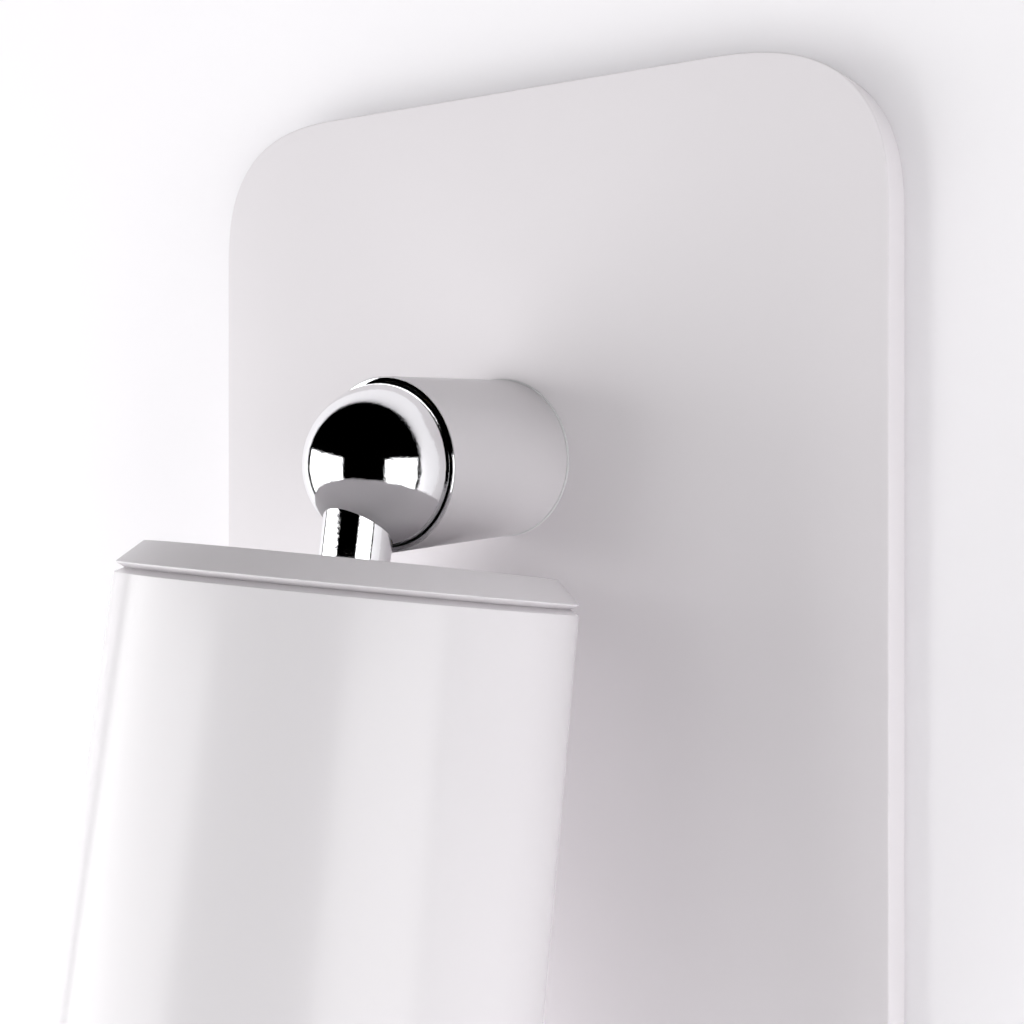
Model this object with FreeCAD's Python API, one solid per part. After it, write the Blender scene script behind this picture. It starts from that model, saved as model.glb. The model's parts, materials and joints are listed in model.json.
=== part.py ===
import FreeCAD, Part
import math
import os

os.makedirs("parts", exist_ok=True)

# Adjustable wall spot lamp. Millimetres, +Z up, the wall is the plane Y = 0 and the lamp stands
# out along -Y. The origin is on the wall, on the axis of the arm. "Depth" is the distance out from
# the wall. In the tilting head, "drop" is the distance below the joint centre along the head's own
# axis, with the head upright; the finished head is then tilted and carried out to the joint.

# ---- driving sizes -------------------------------------------------------------------------

# back plate
PLATE_WIDTH = 160.0
PLATE_ABOVE = 75.4          # top edge above the arm axis
PLATE_BELOW = 144.6         # bottom edge below the arm axis
PLATE_DEPTH = 9.15
PLATE_CORNER = 26.0
PLATE_WALL = 1.2
PLATE_EDGE = 0.4            # rounding of the front edge

# wall bracket, gasket and the plate's fixings
BRACKET_SHEET = 1.5
BRACKET_GAP = 0.5           # to the gasket, and from the gasket to the plate
GASKET_WIDTH = 4.0
GASKET_DEPTH = 2.0
TAB_WIDTH = 16.0
TAB_REACH = 7.0
TAB_SPREAD = 80.0           # between the two tabs at the top, and the two at the bottom
PEG_R = 1.5
PEG_BITE = 2.3              # how far a peg goes below the top of its tab
PLATE_SCREW_R = 1.9
PLATE_SCREW_HEAD = 3.4
PLATE_SCREW_HEAD_HEIGHT = 1.9
PLATE_SCREW_TIP = 2.0       # thread showing above the tab
SLOT_WIDTH = 4.5
SLOT_LENGTH = 9.0
SLOT_SPREAD_X = 90.0
SLOT_SPREAD_Z = 120.0

# electrical fittings behind the plate
TERMINAL_DROP = 50.0        # terminal block centre below the arm axis
TERMINAL_PITCH = 8.0
TERMINAL_HEIGHT = 16.0
TERMINAL_DEPTH = 5.6
TERMINAL_MARGIN = 7.0       # outer pole to the block's end
TERMINAL_CORNER = 1.5
TERMINAL_GROOVE = 1.2       # width of the grooves between poles
TERMINAL_GROOVE_DEPTH = 1.5
TERMINAL_SCREW_R = 1.5
TERMINAL_SCREW_INSET = 3.5
TERMINAL_SCREW_SUNK = 0.6
TERMINAL_FIXING_SUNK = 1.0
GROMMET_DROP = 86.0
GROMMET_R = 8.0
GROMMET_LIP = 1.5
GROMMET_BORE = 4.5
EARTH_X = 32.0
EARTH_DROP = 24.0
CROSS_SLOT = 0.8            # cross recess in a screw's head
CROSS_SPAN = 1.3            # its length, in head radii
CROSS_DEPTH = 1.0
STUD_SLOT = 0.5             # slot in a headless screw
EARTH_R = 2.0
EARTH_NUT_FLATS = 7.0
EARTH_NUT_HEIGHT = 2.4
EARTH_STUD_PROUD = 0.6
EARTH_RING_WIDTH = 2.2
LEAD_R = 0.95
LEAD_SPREAD = 1.1           # each lead's distance from the middle of a bore
LEAD_BITE = 2.0             # length of a lead inside its terminal
LEAD_END_GAP = 0.6          # between the fixed and the turning leads

# arm
ARM_LENGTH = 37.95          # front of the plate to the joint centre
ARM_RIM = 0.95              # metal left round the ball at the arm's mouth
ARM_WALL = 2.1
ARM_ROOT = 3.0
ARM_SEAL = 0.5
ARM_SEAL_PROUD = 0.25
ARM_SCREW_R = 1.95
ARM_SCREW_HEAD = 3.4
ARM_SCREW_HEAD_HEIGHT = 2.0
ARM_SCREW_CIRCLE = 10.6
ARM_ENTRY_R = 6.0           # hole for the leads, plate to arm
COLLAR_DEPTH = 0.8
COLLAR_PROUD = 0.15
COLLAR_SPIGOT = 0.4
COLLAR_SPIGOT_DEPTH = 2.0
COLLAR_EDGE = 0.12
COLLAR_FUNNEL = 0.7         # depth of the bevel into its bore

# swivel inside the arm
BUSH_DEPTH = 6.0
SPINDLE_R = 5.0
SPINDLE_BORE = 3.0
FLANGE_R = 8.5
FLANGE_DEPTH = 2.5
SWIVEL_WASHER = 0.5
SPRING_WASHER = 1.0
SWIVEL_NUT = 5.0
SWIVEL_NUT_FLATS = 16.0
SPINDLE_END = 2.4           # thread showing behind the nut
STOP_R = 1.25
STOP_CIRCLE = 11.0
STOP_LUG = 3.0

# tilt joint
BALL_R = 14.75
BALL_WALL = 1.5
JOINT_GAP = 0.3
BALL_BACK_GAP = 1.25        # ball to spindle flange
BALL_OPENING = 1.0          # the ball is open behind and above this far past its centre
PIN_R = 2.0
PIN_SHORT = 1.0             # pin's ends inside the knuckle
PIN_CHAMFER = 0.3
EYE_R = 4.5
FORK_INSIDE = 3.1           # half the gap between the fork's two plates
FORK_OUTSIDE = 5.6
FORK_HALF_HEIGHT = 4.0
TILT_WASHER = 0.5
LEAD_SPACE = 3.5            # free room round the eye for the leads
TILT_REST = 9.8
TILT_LOW = 6.0
TILT_HIGH = 80.0

# stem
STEM_R = 6.35
STEM_OFFSET = 5.15
STEM_SHOWN = 3.05           # ball's lowest point to the top of the cap
TUBE_R = 4.0
TUBE_BORE = 2.6
TUBE_IN_BALL = 8.8          # drop of the tube's upper end
TUBE_END = 2.0              # thread showing below the stem nut

# cap and shade
SHADE_R = 40.0
SHADE_LENGTH = 130.0
SHADE_WALL = 1.2
SHADE_FLANGE = 1.8
CAP_CHAMFER_HEIGHT = 3.91
CAP_CHAMFER_INSET = 4.1
CAP_WALL = 1.6
CAP_RIM_EDGE = 0.25
CAP_SKIRT = 2.4             # width of the cap's foot on the shade
CAP_SKIRT_INSET = 1.2
CAP_BOSS_WALL = 1.6
GROOVE_HEIGHT = 1.7
GROOVE_REACH = 1.6
SHADE_EDGE = 0.4            # rounding of the shade's lower edge
SHADE_RIM_EDGE = 0.1
SHADE_FLANGE_MARGIN = 1.0   # flange beyond its screw heads
SHOULDER_REACH = 1.4        # ledge inside the shade that the baffle meets
SHOULDER_HEIGHT = 1.5
SHADE_SCREW_R = 1.6
SHADE_SCREW_HEAD = 3.2
SHADE_SCREW_HEAD_HEIGHT = 1.8
SHADE_SCREW_INSET = 8.0     # screw circle inside the shade's bore

# lamp and its holder
HOLDER_R = 13.5
HOLDER_HEIGHT = 20.0
STRAP_SHEET = 1.5
STRAP_WIDTH = 14.0
STRAP_HEIGHT = 22.6
STRAP_SIDE = 2.5            # strap's outside beyond the holder
HOLDER_SCREW_X = 11.0
HOLDER_SCREW_R = 1.4
HOLDER_SCREW_HEAD = 2.6
HOLDER_SCREW_HEAD_HEIGHT = 1.8
HOLDER_SCREW_BITE = 6.0
HOLDER_LEAD_DEPTH = 3.0
STEM_WASHER = 1.0
STEM_WASHER_R = 7.5
STEM_NUT = 3.0
STEM_NUT_FLATS = 13.0
LAMP_R = 25.0
LAMP_NECK = 12.0
LAMP_LENGTH = 47.0
LAMP_NECK_LENGTH = 11.3
LAMP_SHOULDER_R = 18.5
LAMP_SHOULDER = 19.7        # shoulder below the lamp's top
LAMP_FLARE_R = 23.25
LAMP_FLARE = 33.8           # flare below the lamp's top
LAMP_RIM_HEIGHT = 4.0
LAMP_RIM_WALL = 1.5
LAMP_PIN_R = 2.5
LAMP_PIN_SPREAD = 5.0
LAMP_PIN_LENGTH = 6.5
LAMP_PIN_HEAD = 2.4
LAMP_PIN_SHANK = 1.5
LENS_DEPTH = 2.0
LENS_SUNK = 0.4             # lens edge below the lamp's rim
LENS_CROWN = 0.3
BAFFLE_SHEET = 1.0
GLASS_SEAL = 1.5
GLASS_DEPTH = 3.0
GLASS_EDGE = 0.4
RING_DEPTH = 4.5
RING_WIDTH = 3.6
RING_LIP = 1.2              # thickness of the ring's lower edge
RING_FOOT = 1.6             # thickness of the ring on the glass

# clearances
RUNNING = 0.05              # radius, turning fit
SCREW_CLEAR = 0.3           # radius, screw through a plain hole
SNUG = 0.05                 # radius, a piece dropped into a bore
LOOSE = 0.3                 # radius or side, pieces that only lie near each other
LEAD_CLEAR = 0.1            # clamping screw above its lead

# ---- places that follow from them ----------------------------------------------------------

PLATE_BACK = PLATE_DEPTH - PLATE_WALL
JOINT = PLATE_DEPTH + ARM_LENGTH
ARM_START = PLATE_DEPTH + ARM_SEAL
ARM_BORE_FRONT = BALL_R + JOINT_GAP
ARM_R = ARM_BORE_FRONT + ARM_RIM
ARM_BORE_BACK = ARM_R - ARM_WALL
FLANGE_FRONT = JOINT - BALL_R - BALL_BACK_GAP
FLANGE_BACK = FLANGE_FRONT - FLANGE_DEPTH
BUSH_FRONT = FLANGE_BACK - SWIVEL_WASHER - 2 * RUNNING
BUSH_BACK = BUSH_FRONT - BUSH_DEPTH
NUT_FRONT = BUSH_BACK - SPRING_WASHER - 2 * RUNNING
NUT_BACK = NUT_FRONT - SWIVEL_NUT
SPINDLE_BACK = NUT_BACK - SPINDLE_END
BRACKET_INSET = PLATE_WALL + 2 * BRACKET_GAP + GASKET_WIDTH
BRACKET_TOP = PLATE_ABOVE - BRACKET_INSET
BRACKET_BOTTOM = -PLATE_BELOW + BRACKET_INSET
PLATE_MIDDLE = (PLATE_ABOVE - PLATE_BELOW) / 2
TERMINAL_TOP = -TERMINAL_DROP + TERMINAL_HEIGHT / 2
TERMINAL_FRONT = BRACKET_SHEET + TERMINAL_DEPTH
TERMINAL_MIDDLE = BRACKET_SHEET + TERMINAL_DEPTH / 2
EARTH_RING_FRONT = BRACKET_SHEET + 2 * LEAD_R
EARTH_NUT_FRONT = EARTH_RING_FRONT + EARTH_NUT_HEIGHT
FIXING_DEPTH = PLATE_DEPTH / 2
CORE_R = BALL_R - BALL_WALL - SNUG
SLOT_HALF = FORK_OUTSIDE + TILT_WASHER + 2 * RUNNING
GROOVE_R = SHADE_R - GROOVE_REACH
STEM_LENGTH = BALL_R + STEM_SHOWN
CAP_UNDER = STEM_LENGTH + CAP_WALL
CAP_RIM = STEM_LENGTH + CAP_CHAMFER_HEIGHT
GROOVE_APEX = CAP_RIM + GROOVE_HEIGHT / 2
SHADE_RIM = CAP_RIM + GROOVE_HEIGHT
SHADE_BOTTOM = SHADE_RIM + SHADE_LENGTH
SHADE_BORE = SHADE_R - SHADE_WALL
SHADE_SCREW_CIRCLE = SHADE_BORE - SHADE_SCREW_INSET
FLANGE_UNDER = GROOVE_APEX + SHADE_FLANGE
STRAP_TOP = CAP_UNDER
STRAP_FOOT = STRAP_TOP + STRAP_HEIGHT
STRAP_HALF = HOLDER_R + STRAP_SIDE
TUBE_BOTTOM = STRAP_TOP + STRAP_SHEET + STEM_WASHER + STEM_NUT + TUBE_END
HOLDER_BOTTOM = STRAP_FOOT + HOLDER_HEIGHT
LAMP_TOP = HOLDER_BOTTOM + LOOSE
LAMP_FACE = LAMP_TOP + LAMP_LENGTH
SHOULDER_UNDER = LAMP_FACE - BAFFLE_SHEET
GLASS_TOP = LAMP_FACE + GLASS_SEAL
RING_TOP = GLASS_TOP + GLASS_DEPTH

V = FreeCAD.Vector


# ---- helpers -------------------------------------------------------------------------------

def save(name, shape):
    shape.exportStep("parts/" + name + ".step")


def group(shapes):
    return Part.makeCompound(shapes)


def block(x0, x1, depth0, depth1, z0, z1):
    return Part.makeBox(x1 - x0, depth1 - depth0, z1 - z0, V(x0, -depth1, z0))


def out_rod(radius, depth0, depth1, x=0.0, z=0.0):
    """A cylinder along the wall normal."""
    return Part.makeCylinder(radius, depth1 - depth0, V(x, -depth0, z), V(0, -1, 0))


def out_ring(radius, bore, depth0, depth1, x=0.0, z=0.0):
    return out_rod(radius, depth0, depth1, x, z).cut(out_rod(bore, depth0, depth1, x, z))


def up_rod(radius, z0, z1, x, depth):
    return Part.makeCylinder(radius, z1 - z0, V(x, -depth, z0))


def rounded_slab(half_width, z0, z1, corner, depth0, depth1):
    """A rounded rectangle, flat against the wall, between two depths."""
    x1, x0 = half_width, -half_width
    cut = corner * (1 - math.sqrt(0.5))
    corners = [
        (V(x1 - corner, 0, z1), V(x1 - cut, 0, z1 - cut), V(x1, 0, z1 - corner)),
        (V(x1, 0, z0 + corner), V(x1 - cut, 0, z0 + cut), V(x1 - corner, 0, z0)),
        (V(x0 + corner, 0, z0), V(x0 + cut, 0, z0 + cut), V(x0, 0, z0 + corner)),
        (V(x0, 0, z1 - corner), V(x0 + cut, 0, z1 - cut), V(x0 + corner, 0, z1)),
    ]
    edges = []
    for i, arc in enumerate(corners):
        edges.append(Part.Arc(*arc).toShape())
        edges.append(Part.makeLine(arc[2], corners[(i + 1) % 4][0]))
    face = Part.Face(Part.Wire(edges))
    face.translate(V(0, -depth0, 0))
    return face.extrude(V(0, depth0 - depth1, 0))


def plate_slab(inset, depth0, depth1):
    """The back plate's outline drawn in by inset all round."""
    low = -PLATE_BELOW + inset
    high = PLATE_ABOVE - inset
    corner = max(PLATE_CORNER - inset, LOOSE)
    return rounded_slab(PLATE_WIDTH / 2 - inset, low, high, corner, depth0, depth1)


def hexagon(flats, depth, base, axis, turn=0.0):
    """A hexagonal prism standing on base along axis (Y or Z)."""
    radius = flats / 2 / math.cos(math.pi / 6)
    side = V(1, 0, 0)
    other = axis.cross(side)
    points = []
    for i in range(7):
        angle = math.radians(60 * i + turn)
        points.append(base + side * (radius * math.cos(angle)) + other * (radius * math.sin(angle)))
    return Part.Face(Part.makePolygon(points)).extrude(axis * depth)


def head_spin(profile):
    """Turns (radius, drop) points about the head's axis."""
    points = [V(r, -STEM_OFFSET, -drop) for r, drop in profile]
    face = Part.Face(Part.makePolygon(points + points[:1]))
    return face.revolve(V(0, -STEM_OFFSET, 0), V(0, 0, 1), 360)


def head_rod(radius, drop0, drop1, x=0.0, y=0.0):
    return Part.makeCylinder(radius, drop1 - drop0, V(x, y - STEM_OFFSET, -drop1))


def head_block(x0, x1, y0, y1, drop0, drop1):
    return Part.makeBox(x1 - x0, y1 - y0, drop1 - drop0, V(x0, y0 - STEM_OFFSET, -drop1))


def cross_recess(centre, length, slot, deep, out=False):
    """Two crossing boxes about a centre, deep along the wall normal if out, else along Z."""
    pair = []
    for a, b in ((length, slot), (slot, length)):
        size = V(a, deep, b) if out else V(a, b, deep)
        pair.append(Part.makeBox(size.x, size.y, size.z, centre - size / 2))
    return pair[0].fuse(pair[1])


def cross_rod(radius, x0, x1):
    """A cylinder along X through the joint centre."""
    return Part.makeCylinder(radius, x1 - x0, V(x0, 0, 0), V(1, 0, 0))


def to_joint(shape):
    shape.translate(V(0, -JOINT, 0))
    return shape


def to_head(shape):
    """Tilts an upright head piece to its rest angle and carries it to the joint."""
    shape.rotate(V(0, 0, 0), V(1, 0, 0), -TILT_REST)
    return to_joint(shape)


def lead(points, radius=LEAD_R):
    """A round lead along straight runs joined by tangent arcs."""
    edges = []
    start = points[0]
    for i in range(1, len(points) - 1):
        here = points[i]
        run_in = (here - points[i - 1]).Length
        run_out = (points[i + 1] - here).Length
        before = (points[i - 1] - here).normalize()
        after = (points[i + 1] - here).normalize()
        turn = math.pi - before.getAngle(after)
        setback = 0.45 * min(run_in, run_out)
        bend = setback / math.tan(turn / 2)
        middle = (before + after).normalize()
        centre = here + middle * (bend / math.cos(turn / 2))
        first = here + before * setback
        last = here + after * setback
        edges.append(Part.makeLine(start, first))
        edges.append(Part.Arc(first, centre - middle * bend, last).toShape())
        start = last
    edges.append(Part.makeLine(start, points[-1]))
    path = Part.Wire(edges)
    section = Part.Wire(Part.makeCircle(radius, points[0], points[1] - points[0]))
    return path.makePipeShell([section], True, False)


# ---- wall unit: bracket, gasket, plate -----------------------------------------------------

def tab_places():
    return (-TAB_SPREAD / 2, TAB_SPREAD / 2)


def slot_places():
    for x in (-SLOT_SPREAD_X / 2, SLOT_SPREAD_X / 2):
        for z in (-SLOT_SPREAD_Z / 2, SLOT_SPREAD_Z / 2):
            yield x, PLATE_MIDDLE + z


def terminal_poles():
    return (-TERMINAL_PITCH, 0.0, TERMINAL_PITCH)


def terminal_screw_heights():
    return (TERMINAL_TOP - TERMINAL_HEIGHT + TERMINAL_SCREW_INSET, TERMINAL_TOP - TERMINAL_SCREW_INSET)


def wall_slot(x, z):
    run = (SLOT_LENGTH - SLOT_WIDTH) / 2
    shape = block(x - run, x + run, 0, BRACKET_SHEET, z - SLOT_WIDTH / 2, z + SLOT_WIDTH / 2)
    for end in (-run, run):
        shape = shape.fuse(out_rod(SLOT_WIDTH / 2, 0, BRACKET_SHEET, x + end, z))
    return shape


def bracket_tab(x, low, hole):
    """A tab folded out from the bracket, with its fixing hole."""
    half = TAB_WIDTH / 2
    high = low + BRACKET_SHEET
    return block(x - half, x + half, 0, TAB_REACH, low, high).cut(up_rod(hole, low, high, x, FIXING_DEPTH))


def wall_bracket():
    sheet = plate_slab(BRACKET_INSET, 0, BRACKET_SHEET)
    for x in tab_places():
        sheet = sheet.fuse(bracket_tab(x, BRACKET_TOP - BRACKET_SHEET, PEG_R + LOOSE))
        sheet = sheet.fuse(bracket_tab(x, BRACKET_BOTTOM, PLATE_SCREW_R + SNUG))
    for x, z in slot_places():
        sheet = sheet.cut(wall_slot(x, z))
    sheet = sheet.cut(out_rod(GROMMET_R, 0, BRACKET_SHEET, 0, -GROMMET_DROP))
    sheet = sheet.cut(out_rod(EARTH_R, 0, BRACKET_SHEET, EARTH_X, -EARTH_DROP))
    sheet = sheet.cut(out_rod(TERMINAL_SCREW_R, 0, BRACKET_SHEET, 0, -TERMINAL_DROP))
    return sheet.removeSplitter()


def wall_gasket():
    outside = PLATE_WALL + BRACKET_GAP
    gasket = plate_slab(outside, 0, GASKET_DEPTH)
    return gasket.cut(plate_slab(outside + GASKET_WIDTH, 0, GASKET_DEPTH))


def arm_screw_places():
    for degrees in (90, 210, 330):
        angle = math.radians(degrees)
        yield ARM_SCREW_CIRCLE * math.cos(angle), ARM_SCREW_CIRCLE * math.sin(angle)


def back_plate():
    outer = plate_slab(0, 0, PLATE_DEPTH)
    front = [e for e in outer.Edges if max(abs(v.Y + PLATE_DEPTH) for v in e.Vertexes) < 0.001]
    outer = outer.makeFillet(min(PLATE_EDGE, 0.8 * PLATE_WALL), front)
    shell = outer.cut(plate_slab(PLATE_WALL, 0, PLATE_BACK))
    peg_end = BRACKET_TOP - PEG_BITE
    for x in tab_places():
        shell = shell.fuse(up_rod(PEG_R, peg_end, PLATE_ABOVE - PLATE_WALL / 2, x, FIXING_DEPTH))
        hole_r = PLATE_SCREW_R + SCREW_CLEAR
        shell = shell.cut(up_rod(hole_r, -PLATE_BELOW, -PLATE_BELOW + PLATE_WALL, x, FIXING_DEPTH))
    shell = shell.cut(out_rod(ARM_ENTRY_R, PLATE_BACK, PLATE_DEPTH))
    for x, z in arm_screw_places():
        shell = shell.cut(out_rod(ARM_SCREW_R + SCREW_CLEAR, PLATE_BACK, PLATE_DEPTH, x, z))
    return shell.removeSplitter()


def plate_screw(x):
    """A pan-head screw pointing up through the plate's lower side."""
    seat = -PLATE_BELOW
    bottom = seat - PLATE_SCREW_HEAD_HEIGHT
    tip = BRACKET_BOTTOM + BRACKET_SHEET + PLATE_SCREW_TIP
    head = up_rod(PLATE_SCREW_HEAD, bottom, seat, x, FIXING_DEPTH)
    rim = [e for e in head.Edges if abs(e.CenterOfMass.z - bottom) < 0.001 and e.Closed]
    head = head.makeChamfer(PLATE_SCREW_HEAD_HEIGHT / 3, rim)
    screw = head.fuse(up_rod(PLATE_SCREW_R, seat, tip, x, FIXING_DEPTH))
    centre = V(x, -FIXING_DEPTH, bottom)
    return screw.cut(cross_recess(centre, CROSS_SPAN * PLATE_SCREW_HEAD, CROSS_SLOT, 2 * CROSS_DEPTH))


def plate_screws():
    return group([plate_screw(x) for x in tab_places()])


# ---- wall unit: electrical fittings --------------------------------------------------------

def terminal_block():
    half_width = TERMINAL_PITCH + TERMINAL_MARGIN
    low = TERMINAL_TOP - TERMINAL_HEIGHT
    body = block(-half_width, half_width, BRACKET_SHEET, TERMINAL_FRONT, low, TERMINAL_TOP)
    edges = [e for e in body.Edges if abs(e.tangentAt(e.FirstParameter).y) > 0.9]
    body = body.makeFillet(TERMINAL_CORNER, edges)
    for x in terminal_poles():
        body = body.cut(up_rod(LEAD_R + LOOSE, low, TERMINAL_TOP, x, TERMINAL_MIDDLE))
        for z in terminal_screw_heights():
            body = body.cut(out_rod(TERMINAL_SCREW_R + LOOSE / 2, TERMINAL_MIDDLE, TERMINAL_FRONT, x, z))
    half_groove = TERMINAL_GROOVE / 2
    back = TERMINAL_FRONT - TERMINAL_GROOVE_DEPTH
    for x in (-TERMINAL_PITCH / 2, TERMINAL_PITCH / 2):
        body = body.cut(block(x - half_groove, x + half_groove, back, TERMINAL_FRONT, low, TERMINAL_TOP))
    return body.cut(out_rod(TERMINAL_SCREW_R + SNUG, BRACKET_SHEET, TERMINAL_FRONT, 0, -TERMINAL_DROP))


def slotted_stud(radius, depth0, depth1, x, z):
    """A plain round screw seen end on, with a slot in its front face."""
    half = STUD_SLOT / 2
    slot = block(x - radius, x + radius, depth1 - CROSS_SLOT, depth1, z - half, z + half)
    return out_rod(radius, depth0, depth1, x, z).cut(slot)


def terminal_screws():
    front = TERMINAL_FRONT - TERMINAL_SCREW_SUNK
    bottom = TERMINAL_MIDDLE + LEAD_R + LEAD_CLEAR
    screws = []
    for x in terminal_poles():
        for z in terminal_screw_heights():
            screws.append(slotted_stud(TERMINAL_SCREW_R, bottom, front, x, z))
    return group(screws)


def terminal_fixing():
    return slotted_stud(TERMINAL_SCREW_R, 0, TERMINAL_FRONT - TERMINAL_FIXING_SUNK, 0, -TERMINAL_DROP)


def cable_grommet():
    lip_front = BRACKET_SHEET * 2
    body = out_rod(GROMMET_R, 0, lip_front, 0, -GROMMET_DROP)
    lip = out_rod(GROMMET_R + GROMMET_LIP, BRACKET_SHEET, lip_front, 0, -GROMMET_DROP)
    return body.fuse(lip).cut(out_rod(GROMMET_BORE, 0, lip_front, 0, -GROMMET_DROP)).removeSplitter()


def earth_stud():
    return out_rod(EARTH_R, 0, EARTH_NUT_FRONT + EARTH_STUD_PROUD, EARTH_X, -EARTH_DROP)


def earth_nut():
    base = V(EARTH_X, -EARTH_RING_FRONT, -EARTH_DROP)
    nut = hexagon(EARTH_NUT_FLATS, EARTH_NUT_HEIGHT, base, V(0, -1, 0))
    return nut.cut(out_rod(EARTH_R, EARTH_RING_FRONT, EARTH_NUT_FRONT, EARTH_X, -EARTH_DROP))


def earth_lead():
    """From the third pole to a ring terminal under the earth nut."""
    ring_r = EARTH_R + EARTH_RING_WIDTH
    ring_middle = BRACKET_SHEET + LEAD_R
    ring = out_ring(ring_r, EARTH_R + SNUG, BRACKET_SHEET, EARTH_RING_FRONT, EARTH_X, -EARTH_DROP)
    route = [
        V(TERMINAL_PITCH, -TERMINAL_MIDDLE, TERMINAL_TOP - LEAD_BITE),
        V(TERMINAL_PITCH, -TERMINAL_MIDDLE, TERMINAL_TOP + 7.0),
        V(TERMINAL_PITCH + 8.0, -ring_middle, -EARTH_DROP - 2.0),
        V(EARTH_X - ring_r + LEAD_R, -ring_middle, -EARTH_DROP),
    ]
    return ring.fuse(lead(route))


def supply_leads():
    """From the first two poles up behind the plate and out into the arm."""
    leads = []
    for pole, side in ((-TERMINAL_PITCH, -1), (0.0, 1)):
        near = side * LEAD_SPREAD
        route = [
            V(pole, -TERMINAL_MIDDLE, TERMINAL_TOP - LEAD_BITE),
            V(pole, -TERMINAL_MIDDLE, TERMINAL_TOP + 8.0),
            V(near, -TERMINAL_MIDDLE, -16.0),
            V(near, -TERMINAL_MIDDLE, 0.0),
            V(near, -(SPINDLE_BACK - LEAD_END_GAP), 0.0),
        ]
        leads.append(lead(route))
    return group(leads)


# ---- wall unit: arm ------------------------------------------------------------------------

def arm_seal():
    return out_ring(ARM_R + ARM_SEAL_PROUD, ARM_BORE_BACK, PLATE_DEPTH, ARM_START)


def arm_tube():
    collar_back = JOINT - COLLAR_DEPTH
    body = out_rod(ARM_R, ARM_START, collar_back)
    body = body.cut(out_rod(ARM_BORE_BACK, ARM_START + ARM_ROOT, collar_back))
    body = body.cut(out_rod(ARM_BORE_FRONT, FLANGE_FRONT, collar_back))
    spigot_r = ARM_BORE_FRONT + COLLAR_SPIGOT
    body = body.cut(out_rod(spigot_r, collar_back - COLLAR_SPIGOT_DEPTH, collar_back))
    body = body.cut(out_rod(ARM_ENTRY_R, ARM_START, ARM_START + ARM_ROOT))
    for x, z in arm_screw_places():
        body = body.cut(out_rod(ARM_SCREW_R + SNUG, ARM_START, ARM_START + ARM_ROOT, x, z))
    return body


def arm_screws():
    bottom = PLATE_BACK - ARM_SCREW_HEAD_HEIGHT
    screws = []
    for x, z in arm_screw_places():
        head = out_rod(ARM_SCREW_HEAD, bottom, PLATE_BACK, x, z)
        span = CROSS_SPAN * ARM_SCREW_HEAD
        head = head.cut(cross_recess(V(x, -bottom, z), span, CROSS_SLOT, 2 * CROSS_DEPTH, True))
        screws.append(head.fuse(out_rod(ARM_SCREW_R, PLATE_BACK, ARM_START + ARM_ROOT, x, z)))
    return group(screws)


def arm_collar():
    back = JOINT - COLLAR_DEPTH
    ring = out_rod(ARM_R + COLLAR_PROUD, back, JOINT)
    ring = ring.fuse(out_rod(ARM_BORE_FRONT + COLLAR_SPIGOT, back - COLLAR_SPIGOT_DEPTH, back))
    ring = ring.cut(out_rod(ARM_BORE_FRONT, back - COLLAR_SPIGOT_DEPTH, JOINT)).removeSplitter()
    start = V(0, COLLAR_FUNNEL - JOINT, 0)
    funnel = Part.makeCone(ARM_BORE_FRONT, ARM_R - COLLAR_PROUD, COLLAR_FUNNEL, start, V(0, -1, 0))
    ring = ring.cut(funnel)
    front = [e for e in ring.Edges if abs(e.CenterOfMass.y + JOINT) < 0.001]
    return ring.makeFillet(COLLAR_EDGE, [e for e in front if e.Length > 2 * math.pi * ARM_R])


def arm_bush():
    bush = out_ring(ARM_BORE_BACK, SPINDLE_R + RUNNING, BUSH_BACK, BUSH_FRONT)
    return bush.cut(out_rod(STOP_R, BUSH_BACK, BUSH_FRONT, 0, STOP_CIRCLE))


def stop_pin():
    return out_rod(STOP_R, BUSH_BACK, FLANGE_FRONT, 0, STOP_CIRCLE)


# ---- swivel: spindle with the tilt fork ----------------------------------------------------

def spindle():
    rod = out_rod(SPINDLE_R, SPINDLE_BACK, FLANGE_BACK)
    flange = out_rod(FLANGE_R, FLANGE_BACK, FLANGE_FRONT)
    lug_end = STOP_CIRCLE + STOP_R
    lug = block(-STOP_LUG / 2, STOP_LUG / 2, FLANGE_BACK, FLANGE_FRONT, -lug_end, 0)
    body = rod.fuse(flange).fuse(lug)
    height = FORK_HALF_HEIGHT
    for x0, x1 in ((-FORK_OUTSIDE, -FORK_INSIDE), (FORK_INSIDE, FORK_OUTSIDE)):
        body = body.fuse(block(x0, x1, FLANGE_FRONT, JOINT, -height, height))
    body = body.fuse(to_joint(cross_rod(EYE_R, -FORK_OUTSIDE, FORK_OUTSIDE)))
    body = body.cut(out_rod(SPINDLE_BORE, SPINDLE_BACK, FLANGE_FRONT))
    return body.cut(to_joint(cross_rod(PIN_R + RUNNING, -FORK_OUTSIDE, FORK_OUTSIDE))).removeSplitter()


def swivel_washer():
    back = BUSH_FRONT + RUNNING
    return out_ring(FLANGE_R, SPINDLE_R + RUNNING, back, back + SWIVEL_WASHER)


def spring_washer():
    back = NUT_FRONT + RUNNING
    return out_ring(FLANGE_R, SPINDLE_R + RUNNING, back, back + SPRING_WASHER)


def swivel_nut():
    nut = hexagon(SWIVEL_NUT_FLATS, SWIVEL_NUT, V(0, -NUT_BACK, 0), V(0, -1, 0), 30)
    return nut.cut(out_rod(SPINDLE_R, NUT_BACK, NUT_FRONT))


def swivel_leads():
    front = JOINT - EYE_R - LEAD_SPACE
    return group([out_rod(LEAD_R, SPINDLE_BACK, front, side * LEAD_SPREAD) for side in (-1, 1)])


# ---- head: ball, knuckle, stem -------------------------------------------------------------

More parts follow.
